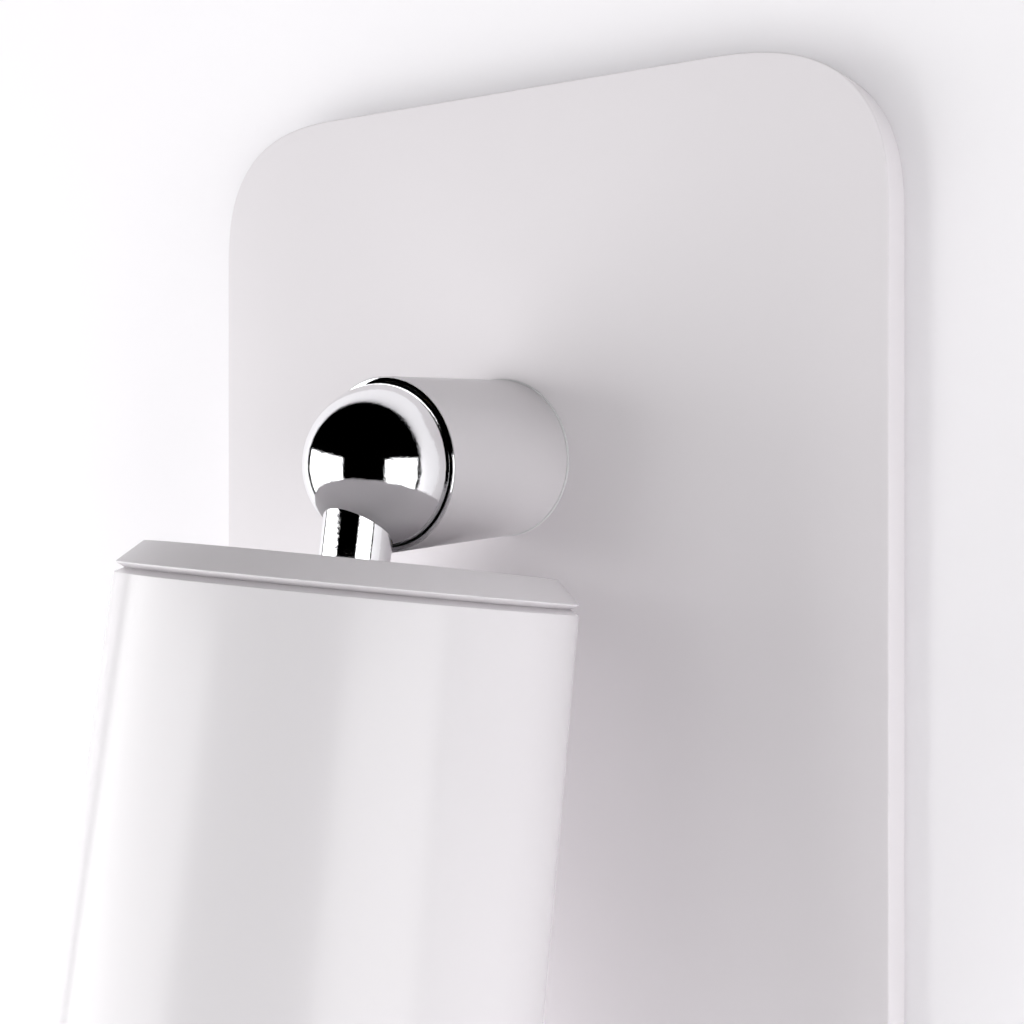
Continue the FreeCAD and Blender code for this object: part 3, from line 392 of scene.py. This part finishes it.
CORNER_ACROSS = 35.4 * MM
CORNER_UP = 32.4 * MM
CORNER_POWER = 2.76         # 2 would be an ellipse
OUTLINE_STEPS = 32
PLATE_WALL = 1.2 * MM
PLATE_EDGE = 0.35 * MM
PLATE_REAR_EDGE = 0.3 * MM
PLATE_EDGE_STEPS = 8


def corner_reach(angle, across, up):
    """How far a corner's curve lies from its centre in one direction."""
    x = abs(math.cos(angle) / across) ** CORNER_POWER
    z = abs(math.sin(angle) / up) ** CORNER_POWER
    return (x + z) ** (-1 / CORNER_POWER)


def rounded_outline(half_width, low, high, across, up):
    """Points round a plate whose corners bend gradually into its sides, as (x, z)."""
    points = []
    centres = (
        (half_width - across, high - up, 0),
        (-half_width + across, high - up, 90),
        (-half_width + across, low + up, 180),
        (half_width - across, low + up, 270),
    )
    for cx, cz, start in centres:
        for k in range(OUTLINE_STEPS + 1):
            angle = math.radians(start + 90 * k / OUTLINE_STEPS)
            reach = corner_reach(angle, across, up)
            points.append((cx + reach * math.cos(angle), cz + reach * math.sin(angle)))
    return points


def make_back_plate():
    """A pressed shell: rounded front edge, straight side, rolled rear edge, open at the back."""
    low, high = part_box("back_plate")
    depth = -low.y
    half = (high.x - low.x) / 2
    rows = []
    for k in range(PLATE_EDGE_STEPS + 1):
        angle = math.radians(90 * k / PLATE_EDGE_STEPS)
        inset = PLATE_EDGE * (1 - math.sin(angle))
        rows.append((inset, depth - PLATE_EDGE * (1 - math.cos(angle))))
    rows.append((0.0, PLATE_REAR_EDGE))
    rows.append((PLATE_REAR_EDGE, 0.0))
    rows.append((PLATE_WALL, 0.0))
    rows.append((PLATE_WALL, depth - PLATE_WALL))
    bm = bmesh.new()
    loops = []
    for inset, out in rows:
        across, up = CORNER_ACROSS - inset, CORNER_UP - inset
        outline = rounded_outline(half - inset, low.z + inset, high.z - inset, across, up)
        loops.append([bm.verts.new((x, -out, z)) for x, z in outline])
    for first, second in zip(loops, loops[1:]):
        for k in range(len(first)):
            n = (k + 1) % len(first)
            bm.faces.new((first[k], first[n], second[n], second[k]))
    bm.faces.new(loops[0])
    bm.faces.new(loops[-1])
    obj = make_object("back_plate_shell", bm, 40.0)
    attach(obj, "root")
    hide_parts("back_plate")
    return finish_piece(obj, PLATE_SATIN_PAINTED_LIGHT)


ARM_ENTRY = 6.0 * MM         # radius of the hole for the leads at the arm's root
ARM_ROOT = 3.0 * MM          # thickness of the arm's closed end
MOUTH_DEPTH = 16.0 * MM      # from the joint back to the step in the bore
ARM_EDGE = 0.25 * MM
ENTRY_EDGE = 0.2 * MM
LIP_WALL = 0.2 * MM          # thin lip of the arm round the mouth ring
LIP_SETBACK = 0.1 * MM
LIP_EDGE = 0.14 * MM
COLLAR_FACE = 1.1 * MM       # width of the mouth ring's face
COLLAR_DEPTH = 0.8 * MM
COLLAR_BEVEL = 0.38 * MM     # how far its face falls back towards the bore
COLLAR_EDGE = 0.04 * MM
COLLAR_BORE_EDGE = 0.05 * MM
SPIGOT_WALL = 0.4 * MM
SPIGOT_DEPTH = 2.0 * MM
SEAL_EDGE = 0.2 * MM


def make_arm():
    part = OutPart("arm_tube")
    collar = OutPart("arm_collar")
    bore = OutPart("arm_bush").radius
    collar_bore = collar.radius - COLLAR_FACE
    lip = collar.front - LIP_SETBACK
    root = part.back + ARM_ROOT
    step = -JOINT.y - MOUTH_DEPTH
    profile = [
        (ARM_ENTRY, part.back, ENTRY_EDGE),
        (part.radius, part.back, ARM_EDGE),
        (part.radius, lip, LIP_EDGE),
        (part.radius - LIP_WALL, lip, 0.0),
        (part.radius - LIP_WALL, part.front, 0.0),
        (collar_bore + SPIGOT_WALL, part.front, 0.0),
        (collar_bore, part.front - SPIGOT_DEPTH, 0.0),
        (collar_bore, step, 0.0),
        (bore, step, 0.0),
        (bore, root, 0.0),
        (ARM_ENTRY, root, 0.0),
    ]
    obj = out_from_wall(turned("arm_body", profile))
    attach(obj, "root")
    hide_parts("arm_tube")
    return finish_piece(obj, ARM_WHITE_PAINTED_SHADE)


def make_arm_seal():
    part = OutPart("arm_seal")
    inner = OutPart("arm_bush").radius
    profile = [
        (inner, part.back, 0.0),
        (part.radius, part.back, SEAL_EDGE),
        (part.radius, part.front, SEAL_EDGE),
        (inner, part.front, 0.0),
    ]
    obj = out_from_wall(turned("arm_root_ring", profile))
    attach(obj, "root")
    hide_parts("arm_seal")
    return finish_piece(obj, RUBBER)


def make_collar():
    """A chrome ring let into the arm's lip, its face falling back towards the ball."""
    part = OutPart("arm_collar")
    outer = OutPart("arm_tube").radius - LIP_WALL
    bore = part.radius - COLLAR_FACE
    seat = part.front - COLLAR_DEPTH
    profile = [
        (bore, part.back, 0.0),
        (bore + SPIGOT_WALL, part.back, 0.0),
        (bore + SPIGOT_WALL, seat, 0.0),
        (outer, seat, 0.0),
        (outer, part.front, COLLAR_EDGE),
        (bore, part.front - COLLAR_BEVEL, COLLAR_BORE_EDGE),
    ]
    obj = out_from_wall(turned("arm_mouth_ring", profile))
    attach(obj, "root")
    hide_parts("arm_collar")
    return finish_piece(obj, CHROME)


# ---- head ------------------------------------------------------------------------------------------------

BALL_WALL = 1.5 * MM
FORK_ROOM = 4.3 * MM
FORK_SIDE = 5.9 * MM
BALL_RINGS = 96
BACK_OPENING = 1.0 * MM      # the shell is cut away from here, behind and above its centre


def make_ball():
    """A chrome shell, open at the back where the fork comes in."""
    radius = max(p.x for p in head_points("ball"))
    profile = []
    for k in range(BALL_RINGS + 1):
        angle = math.pi * (k / BALL_RINGS - 0.5)
        profile.append((max(radius * math.cos(angle), 0.0), radius * math.sin(angle), 0.0))
    profile[0] = (0.0, -radius, 0.0)
    profile[-1] = (0.0, radius, 0.0)
    obj = turned("ball_shell", profile)
    shrink = 1 - BALL_WALL / radius
    hollow = turned("hollow", [(r * shrink, z * shrink, 0.0) for r, z, _ in profile])
    low, high = math.radians(TILT_LOW), math.radians(TILT_HIGH)
    reach = 2 * radius
    half = (high - low) / 2
    middle = low + half
    apex = -FORK_ROOM / math.sin(half)
    low_y = FORK_ROOM * math.sin(low) + reach * math.cos(low)
    low_z = -FORK_ROOM * math.cos(low) + reach * math.sin(low)
    high_y = -FORK_ROOM * math.sin(high) + reach * math.cos(high)
    high_z = FORK_ROOM * math.cos(high) + reach * math.sin(high)
    wedge = [
        (apex * math.cos(middle), apex * math.sin(middle)),
        (low_y, low_z),
        (reach, reach),
        (high_y, high_z),
    ]
    slot = prism("slot", wedge, -FORK_SIDE, FORK_SIDE)
    edge = BACK_OPENING
    back = prism("back", [(edge, edge), (reach, edge), (reach, reach), (edge, reach)], -reach, reach)
    cut_with(obj, [hollow, back, slot])
    tilt_to_head(obj, 0.0)
    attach(obj, "head")
    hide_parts("ball")
    return finish_piece(obj, CHROME)


STEM_WALL = 2.3 * MM
STEM_EDGE = 0.2 * MM
STEM_BITE = 0.03 * MM        # how far the sleeve's end sits into the ball


def make_stem():
    """A sleeve whose upper edge follows the ball."""
    bottom = HeadPart("stem").bottom
    radius = max(p.x for p in head_points("stem"))
    ball_r = max(p.x for p in head_points("ball"))
    bore = radius - STEM_WALL
    axis = HeadPart("cap").axis
    on_ball = None
    profile = (
        (radius, on_ball),
        (radius, bottom - STEM_EDGE),
        (radius - STEM_EDGE, bottom),
        (bore, bottom),
        (bore, on_ball),
    )
    bm = bmesh.new()
    rows = [[] for _ in profile]
    for k in range(TURNS):
        angle = 2 * math.pi * k / TURNS
        c, s = math.cos(angle), math.sin(angle)
        for row, (r, drop) in zip(rows, profile):
            x, y = r * c, r * s
            if drop is on_ball:
                drop = math.sqrt(ball_r ** 2 - x ** 2 - (y + axis) ** 2) - STEM_BITE
            row.append(bm.verts.new((x, y, -drop)))
    for i, row in enumerate(rows):
        join_rings(bm, row, rows[(i + 1) % len(rows)])
    obj = make_object("stem_sleeve", bm)
    tilt_to_head(obj, axis)
    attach(obj, "head")
    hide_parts("stem")
    return finish_piece(obj, CHROME)


CAP_CHAMFER = 4.1 * MM
CAP_RIM_HEIGHT = 3.91 * MM
CAP_PLATE = 1.6 * MM         # thickness of the cap's flat
CAP_HOLE = 4.05 * MM
CAP_RIM_WALL = 4.0 * MM
CAP_BEND_WALL = 5.3 * MM
CAP_TOP_EDGE = 0.35 * MM
CAP_RIM_EDGE = 0.16 * MM
CAP_BEND = 0.5 * MM
GROOVE_REACH = 1.6 * MM


def make_cap():
    part = HeadPart("cap")
    flat = part.top + CAP_PLATE
    profile = [
        (CAP_HOLE, part.top, 0.0),
        (part.radius - CAP_CHAMFER, part.top, CAP_TOP_EDGE),
        (part.radius, part.top + CAP_RIM_HEIGHT, CAP_RIM_EDGE),
        (part.radius - GROOVE_REACH, part.bottom, 0.0),
        (part.radius - CAP_RIM_WALL, part.bottom, 0.0),
        (part.radius - CAP_BEND_WALL, flat, CAP_BEND),
        (CAP_HOLE, flat, 0.0),
    ]
    obj = head_turned("cap_disc", "cap", profile)
    return finish_piece(obj, WHITE_SATIN)


SHADE_RIM_DROP = 0.85 * MM   # from the flange up in the groove to the shade's full radius
SHADE_RIM_EDGE = 0.14 * MM
SHADE_MOUTH_EDGE = 0.5 * MM
FLANGE_HOLE = 26.6 * MM
FLANGE_DEPTH = 1.8 * MM
FLANGE_EDGE = 0.2 * MM
FLANGE_BEND = 0.4 * MM
SHOULDER_REACH = 1.4 * MM
SHOULDER_DEPTH = 1.5 * MM
BAFFLE_CLEARANCE = 0.05 * MM


def make_shade():
    part = HeadPart("shade")
    baffle = HeadPart("lamp_baffle")
    bore = baffle.radius + BAFFLE_CLEARANCE
    flange = part.top + FLANGE_DEPTH
    shoulder = baffle.top
    profile = [
        (FLANGE_HOLE, part.top, FLANGE_EDGE),
        (part.radius - GROOVE_REACH, part.top, 0.0),
        (part.radius, part.top + SHADE_RIM_DROP, SHADE_RIM_EDGE),
        (part.radius, part.bottom, SHADE_MOUTH_EDGE),
        (bore, part.bottom, SHADE_MOUTH_EDGE),
        (bore, shoulder, 0.0),
        (bore - SHOULDER_REACH, shoulder, 0.0),
        (bore - SHOULDER_REACH, shoulder - SHOULDER_DEPTH, 0.0),
        (bore, shoulder - SHOULDER_DEPTH, 0.0),
        (bore, flange, FLANGE_BEND),
        (FLANGE_HOLE, flange, FLANGE_EDGE),
    ]
    obj = head_turned("shade_tube", "shade", profile)
    return finish_piece(obj, WHITE_GLOSS)


RING_WIDTH = 3.55 * MM       # of the glass ring and the gasket above the glass
RING_TOP_EDGE = 0.1 * MM
RING_FOOT = 1.2 * MM
RING_FOOT_EDGE = 0.25 * MM
RING_BEND = 0.5 * MM
RING_LIP = 1.6 * MM
RING_LIP_EDGE = 0.4 * MM
GASKET_INNER_EDGE = 0.4 * MM
GASKET_OUTER_EDGE = 0.2 * MM
GLASS_EDGE = 0.4 * MM
BAFFLE_GAP = 0.3 * MM        # between the lamp and the baffle
BAFFLE_LIP = 0.35 * MM
BAFFLE_TOP_EDGE = 0.1 * MM
BAFFLE_FOOT_EDGE = 0.25 * MM


def make_glass_ring():
    part = HeadPart("glass_ring")
    inner = part.radius - RING_WIDTH
    profile = [
        (inner, part.top, RING_TOP_EDGE),
        (part.radius, part.top, RING_TOP_EDGE),
        (part.radius, part.bottom, RING_FOOT_EDGE),
        (part.radius - RING_FOOT, part.bottom, RING_BEND),
        (inner, part.top + RING_LIP, RING_LIP_EDGE),
    ]
    obj = head_turned("glass_retaining_ring", "glass_ring", profile)
    return finish_piece(obj, CHROME)


def make_glass_seal():
    part = HeadPart("glass_seal")
    inner = part.radius - RING_WIDTH
    profile = [
        (inner, part.top, GASKET_INNER_EDGE),
        (part.radius, part.top, GASKET_OUTER_EDGE),
        (part.radius, part.bottom, GASKET_OUTER_EDGE),
        (inner, part.bottom, GASKET_INNER_EDGE),
    ]
    obj = head_turned("glass_gasket", "glass_seal", profile)
    return finish_piece(obj, RUBBER)


def make_front_glass():
    part = HeadPart("front_glass")
    profile = [
        (0.0, part.top, 0.0),
        (part.radius, part.top, GLASS_EDGE),
        (part.radius, part.bottom, GLASS_EDGE),
        (0.0, part.bottom, 0.0),
    ]
    obj = head_turned("glass_disc", "front_glass", profile)
    return finish_piece(obj, GLASS)


def make_baffle():
    """A pressed ring with a rolled inner lip."""
    part = HeadPart("lamp_baffle")
    inner = HeadPart("lamp_body").radius + BAFFLE_GAP
    profile = [
        (inner, part.top, BAFFLE_LIP),
        (part.radius, part.top, BAFFLE_TOP_EDGE),
        (part.radius, part.bottom, BAFFLE_FOOT_EDGE),
        (inner, part.bottom, BAFFLE_LIP),
    ]
    obj = head_turned("baffle_ring", "lamp_baffle", profile)
    return finish_piece(obj, WHITE_SATIN)


LAMP_NECK = 12.0 * MM        # radius of the lamp's neck
LAMP_NECK_LENGTH = 11.3 * MM
LAMP_HIP = 18.4 * MM         # radius and drop where the neck has flared
LAMP_HIP_DROP = 19.7 * MM
LAMP_WAIST = 23.1 * MM       # radius and drop of the ribbed part's widest place
LAMP_WAIST_DROP = 33.8 * MM
LAMP_RIM = 4.0 * MM
LAMP_SOFT_BEND = 3.0 * MM
LAMP_WAIST_BEND = 5.0 * MM
LAMP_NECK_EDGE = 1.2 * MM
LAMP_RIM_BEND = 1.0 * MM
LAMP_RIM_EDGE = 0.5 * MM
LAMP_FACE_EDGE = 0.25 * MM
LENS_CLEARANCE = 0.05 * MM
LAMP_RIBS = 24
RIB_DEPTH = 0.7 * MM
RIB_TOP = 19.0 * MM          # from the lamp's top to the first of the ribs
RIB_BOTTOM = 5.0 * MM        # from the last of the ribs to the lamp's face
RIB_FADE = 3.0 * MM
RIB_ROW = 1.2 * MM
RIB_END = 0.6 * MM
FLARE_WIDTH = 9.0 * MM       # the rows are divided only this far in from the lens
LENSLET_PITCH = 4.6 * MM
LENSLET_RISE = 0.32 * MM
LENS_RINGS = 64
LENS_RIM = 3.0 * MM          # plain width round the domes
LENS_SINK = 0.45 * MM        # from the rim's face in to the plain surface
LENS_FADE = 0.6 * MM
LENS_SMOOTH_ANGLE = 50.0


def make_lamp_body():
    """A spot lamp's housing: neck, ribbed flare and a smooth rim round the lens."""
    part = HeadPart("lamp_body")
    lens = HeadPart("lamp_lens")
    face = lens.radius + LENS_CLEARANCE
    rib_top = part.top + RIB_TOP
    rib_bottom = part.bottom - RIB_BOTTOM
    profile = round_corners([
        (0.0, -part.top, 0.0),
        (LAMP_NECK, -part.top, LAMP_NECK_EDGE),
        (LAMP_NECK, -part.top - LAMP_NECK_LENGTH, LAMP_SOFT_BEND),
        (LAMP_HIP, -part.top - LAMP_HIP_DROP, LAMP_SOFT_BEND),
        (LAMP_WAIST, -part.top - LAMP_WAIST_DROP, LAMP_WAIST_BEND),
        (part.radius, -part.bottom + LAMP_RIM, LAMP_RIM_BEND),
        (part.radius, -part.bottom, LAMP_RIM_EDGE),
        (face, -part.bottom, LAMP_FACE_EDGE),
        (face, -lens.top, 0.0),
        (0.0, -lens.top, 0.0),
    ])
    rows = []
    for first, second in zip(profile, profile[1:]):
        steps = 1
        if first.x > face - FLARE_WIDTH:
            steps = max(1, int((second - first).length / RIB_ROW))
        for k in range(steps):
            rows.append(first.lerp(second, k / steps))
    rows.append(profile[-1])
    bm = bmesh.new()
    rings = []
    for row in rows:
        ring = add_ring(bm, row.x, row.y)
        drop = -row.y
        if row.x > LAMP_NECK and drop < part.bottom - RIB_END:
            from_ends = min(drop - rib_top, rib_bottom - drop)
            fade = min(1.0, max(0.0, from_ends / RIB_FADE))
            for k, corner in enumerate(ring):
                angle = 2 * math.pi * k / TURNS
                wave = max(0.0, math.cos(LAMP_RIBS * angle)) ** 0.5
                r = row.x - RIB_DEPTH * fade * (1 - wave)
                corner.co = (r * math.cos(angle), r * math.sin(angle), row.y)
        rings.append(ring)
    for first, second in zip(rings, rings[1:]):
        join_rings(bm, first, second)
    obj = tilt_to_head(make_object("lamp_housing", bm), part.axis)
    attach(obj, "head")
    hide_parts("lamp_body")
    return finish_piece(obj, LAMP_WHITE)


def lenslet_height(x, y):
    """Height of a field of small domes on a triangular lattice."""
    row_gap = LENSLET_PITCH * math.sqrt(0.75)
    best = LENSLET_PITCH
    row = round(y / row_gap)
    for j in (row - 1, row, row + 1):
        shift = LENSLET_PITCH / 2 * (j % 2)
        column = round((x - shift) / LENSLET_PITCH)
        for i in (column - 1, column, column + 1):
            best = min(best, math.hypot(x - shift - i * LENSLET_PITCH, y - j * row_gap))
    dome = LENSLET_PITCH * 0.5
    return LENSLET_RISE * max(0.0, 1 - (best / dome) ** 2)


def make_lens():
    """A moulded lens: a smooth rim and a field of small domes over the light sources."""
    part = HeadPart("lamp_lens")
    field = part.radius - LENS_RIM
    base = -part.bottom + LENS_SINK
    bm = bmesh.new()
    centre = bm.verts.new((0, 0, base - lenslet_height(0, 0)))
    rows = []
    for k in range(1, LENS_RINGS + 1):
        r = part.radius * k / LENS_RINGS
        inside = min(1.0, max(0.0, (field - r) / LENS_FADE))
        row = []
        for t in range(TURNS):
            angle = 2 * math.pi * t / TURNS
            x, y = r * math.cos(angle), r * math.sin(angle)
            row.append(bm.verts.new((x, y, base - inside * lenslet_height(x, y))))
        rows.append(row)
    back = [bm.verts.new((v.co.x, v.co.y, -part.top)) for v in rows[-1]]
    rows.append(back)
    for t in range(TURNS):
        n = (t + 1) % TURNS
        bm.faces.new((centre, rows[0][t], rows[0][n]))
        for first, second in zip(rows, rows[1:]):
            bm.faces.new((first[t], second[t], second[n], first[n]))
    bm.faces.new(back)
    obj = tilt_to_head(make_object("lens_moulding", bm, LENS_SMOOTH_ANGLE), part.axis)
    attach(obj, "head")
    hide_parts("lamp_lens")
    return finish_piece(obj, LENS)


make_back_plate()
make_arm_seal()
make_arm()
make_collar()
make_ball()
make_stem()
make_cap()
make_shade()
make_glass_ring()
make_glass_seal()
make_front_glass()
make_baffle()
make_lamp_body()
make_lens()


# ---- stage: wall, floor, lights, camera ---------------------------------------------------------------------

WALL_REACH = 2.0
FLOOR_DROP = 1.1
PALE_FLOOR = (0.72, 0.71, 0.72, 1.0)
PALE_ROOM = (0.80, 0.79, 0.80, 1.0)
AMBIENT = 0.01

CARD_DISTANCE = 1.2         # side cards: from the joint's line, and their upper and lower ends
CARD_TOP = 0.19
CARD_BOTTOM = -1.08


def mix_surfaces(tree, factor, first, second, output):
    mix = tree.nodes.new("ShaderNodeMixShader")
    tree.links.new(factor, mix.inputs["Fac"])
    tree.links.new(first, mix.inputs[1])
    tree.links.new(second, mix.inputs[2])
    tree.links.new(mix.outputs["Shader"], output.inputs["Surface"])


def shown_to_camera(tree, working, shown, output):
    """Lets one surface light the scene and another be looked at."""
    path = tree.nodes.new("ShaderNodeLightPath")
    mix_surfaces(tree, path.outputs["Is Camera Ray"], working, shown, output)


def wall_material():
    """Matt white paint, open from behind so that the back of the lamp can be looked at."""
    material, tree, shader = new_material("wall_paint")
    shader.inputs["Roughness"].default_value = 0.9
    shader.inputs["Specular IOR Level"].default_value = 0.2
    paint = colour_between(tree, noise(tree, 3.0, 3.0), (0.935, 0.918, 0.942), (0.955, 0.938, 0.962))
    tree.links.new(paint, shader.inputs["Base Color"])
    bump(tree, shader, noise(tree, 350.0, 3.0), 0.05, 0.1 * MM)
    seen = tree.nodes.new("ShaderNodeNewGeometry")
    clear = tree.nodes.new("ShaderNodeBsdfTransparent")
    output = tree.nodes["Material Output"]
    mix_surfaces(tree, seen.outputs["Backfacing"], shader.outputs["BSDF"], clear.outputs["BSDF"], output)
    return material


def floor_material():
    material, tree, shader = new_material("floor_paint")
    shader.inputs["Roughness"].default_value = 0.8
    paint = colour_between(tree, noise(tree, 3.0, 3.0), (0.80, 0.80, 0.80), (0.84, 0.84, 0.84))
    tree.links.new(paint, shader.inputs["Base Color"])
    pale = tree.nodes.new("ShaderNodeEmission")
    pale.inputs["Color"].default_value = PALE_FLOOR
    output = tree.nodes["Material Output"]
    shown_to_camera(tree, shader.outputs["BSDF"], pale.outputs["Emission"], output)
    return material


def make_wall():
    """A wall with an opening behind the plate, so that light from behind reaches the lamp's back."""
    low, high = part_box("back_plate")
    inset = PLATE_REAR_EDGE
    outline = rounded_outline(high.x - inset, low.z + inset, high.z - inset, CORNER_ACROSS, CORNER_UP)
    middle = (low.z + high.z) / 2
    spread = WALL_REACH / high.x
    bm = bmesh.new()
    near = [bm.verts.new((x, 0, z)) for x, z in outline]
    far = [bm.verts.new((x * spread, 0, middle + (z - middle) * spread)) for x, z in outline]
    for k in range(len(near)):
        n = (k + 1) % len(near)
        bm.faces.new((near[k], far[k], far[n], near[n]))
    wall = make_object("wall", bm)
    if wall.data.polygons[0].normal.y > 0:
        wall.data.flip_normals()
    wall.data.materials.append(wall_material())


def make_floor():
    w = WALL_REACH
    bm = bmesh.new()
    bm.faces.new([bm.verts.new((x, y, -FLOOR_DROP)) for x, y in ((-w, -w), (w, -w), (w, w), (-w, w))])
    floor = make_object("floor", bm)
    floor.data.materials.append(floor_material())


def soft_light(name, place, size_x, size_y, power, target=JOINT, glossy=True):
    data = bpy.data.lights.new(name, "AREA")
    data.shape = "RECTANGLE"
    data.size = size_x
    data.size_y = size_y
    data.energy = power
    obj = bpy.data.objects.new(name, data)
    obj.location = place
    aim = target - Vector(place)
    obj.rotation_mode = "QUATERNION"
    obj.rotation_quaternion = aim.to_track_quat("-Z", "Y")
    obj.visible_glossy = glossy
    obj.visible_camera = False
    bpy.context.scene.collection.objects.link(obj)


def side_card(name, side, near_turn, far_turn, power):
    """A tall soft light between two directions, counted from straight out of the wall."""
    points = []
    for turn in (near_turn, far_turn):
        angle = math.radians(turn)
        aside = Vector((side * math.sin(angle), -math.cos(angle), 0))
        points.append(aside * CARD_DISTANCE + Vector((0, JOINT.y, 0)))
    middle = (points[0] + points[1]) / 2
    middle.z = (CARD_TOP + CARD_BOTTOM) / 2
    width = (points[1] - points[0]).length
    target = Vector((0, JOINT.y, middle.z))
    soft_light(name, middle, width, CARD_TOP - CARD_BOTTOM, power, target)


def make_lights():
    """Two cards that show in the chrome, and fills that do not, but for the one behind the wall."""
    side_card("left_softbox", -1, 20, 84, 14.4)
    side_card("right_softbox", 1, 42, 86, 10.4)
    soft_light("front_fill", (-0.5, -1.6, 0.5), 1.2, 1.2, 7.6, glossy=False)
    soft_light("top_fill", (0.2, -0.5, 1.3), 0.5, 0.3, 1.6, glossy=False)
    soft_light("right_fill", (1.4, -0.10, 0.1), 0.3, 1.2, 1.2, glossy=False)
    soft_light("rear_fill", (0.0, 1.3, 0.6), 3.4, 1.6, 30.0)


def make_world():
    world = bpy.data.worlds.new("studio")
    world.use_nodes = True
    tree = world.node_tree
    ambient = tree.nodes["Background"]
    ambient.inputs["Color"].default_value = (1.0, 1.0, 1.0, 1.0)
    ambient.inputs["Strength"].default_value = AMBIENT
    room = tree.nodes.new("ShaderNodeBackground")
    room.inputs["Color"].default_value = PALE_ROOM
    output = tree.nodes["World Output"]
    shown_to_camera(tree, ambient.outputs["Background"], room.outputs["Background"], output)
    world.cycles_visibility.glossy = False
    bpy.context.scene.world = world


def make_camera():
    turn = math.radians(CAMERA_TURN)
    right = Vector((math.cos(turn), math.sin(turn), 0))
    forward = Vector((-math.sin(turn), math.cos(turn), 0))
    data = bpy.data.cameras.new("camera")
    data.sensor_width = CAMERA_SENSOR
    data.lens = CAMERA_LENS
    data.shift_y = CAMERA_SHIFT
    data.clip_start = CAMERA_CLIP
    obj = bpy.data.objects.new("camera", data)
    obj.location = JOINT + right * CAMERA_SIDE - forward * CAMERA_BACK + Vector((0, 0, CAMERA_RISE))
    obj.rotation_euler = (math.radians(90), 0, turn)
    bpy.context.scene.collection.objects.link(obj)
    bpy.context.scene.camera = obj


make_wall()
make_floor()
make_lights()
make_world()
make_camera()
bpy.context.scene.view_settings.view_transform = "Standard"
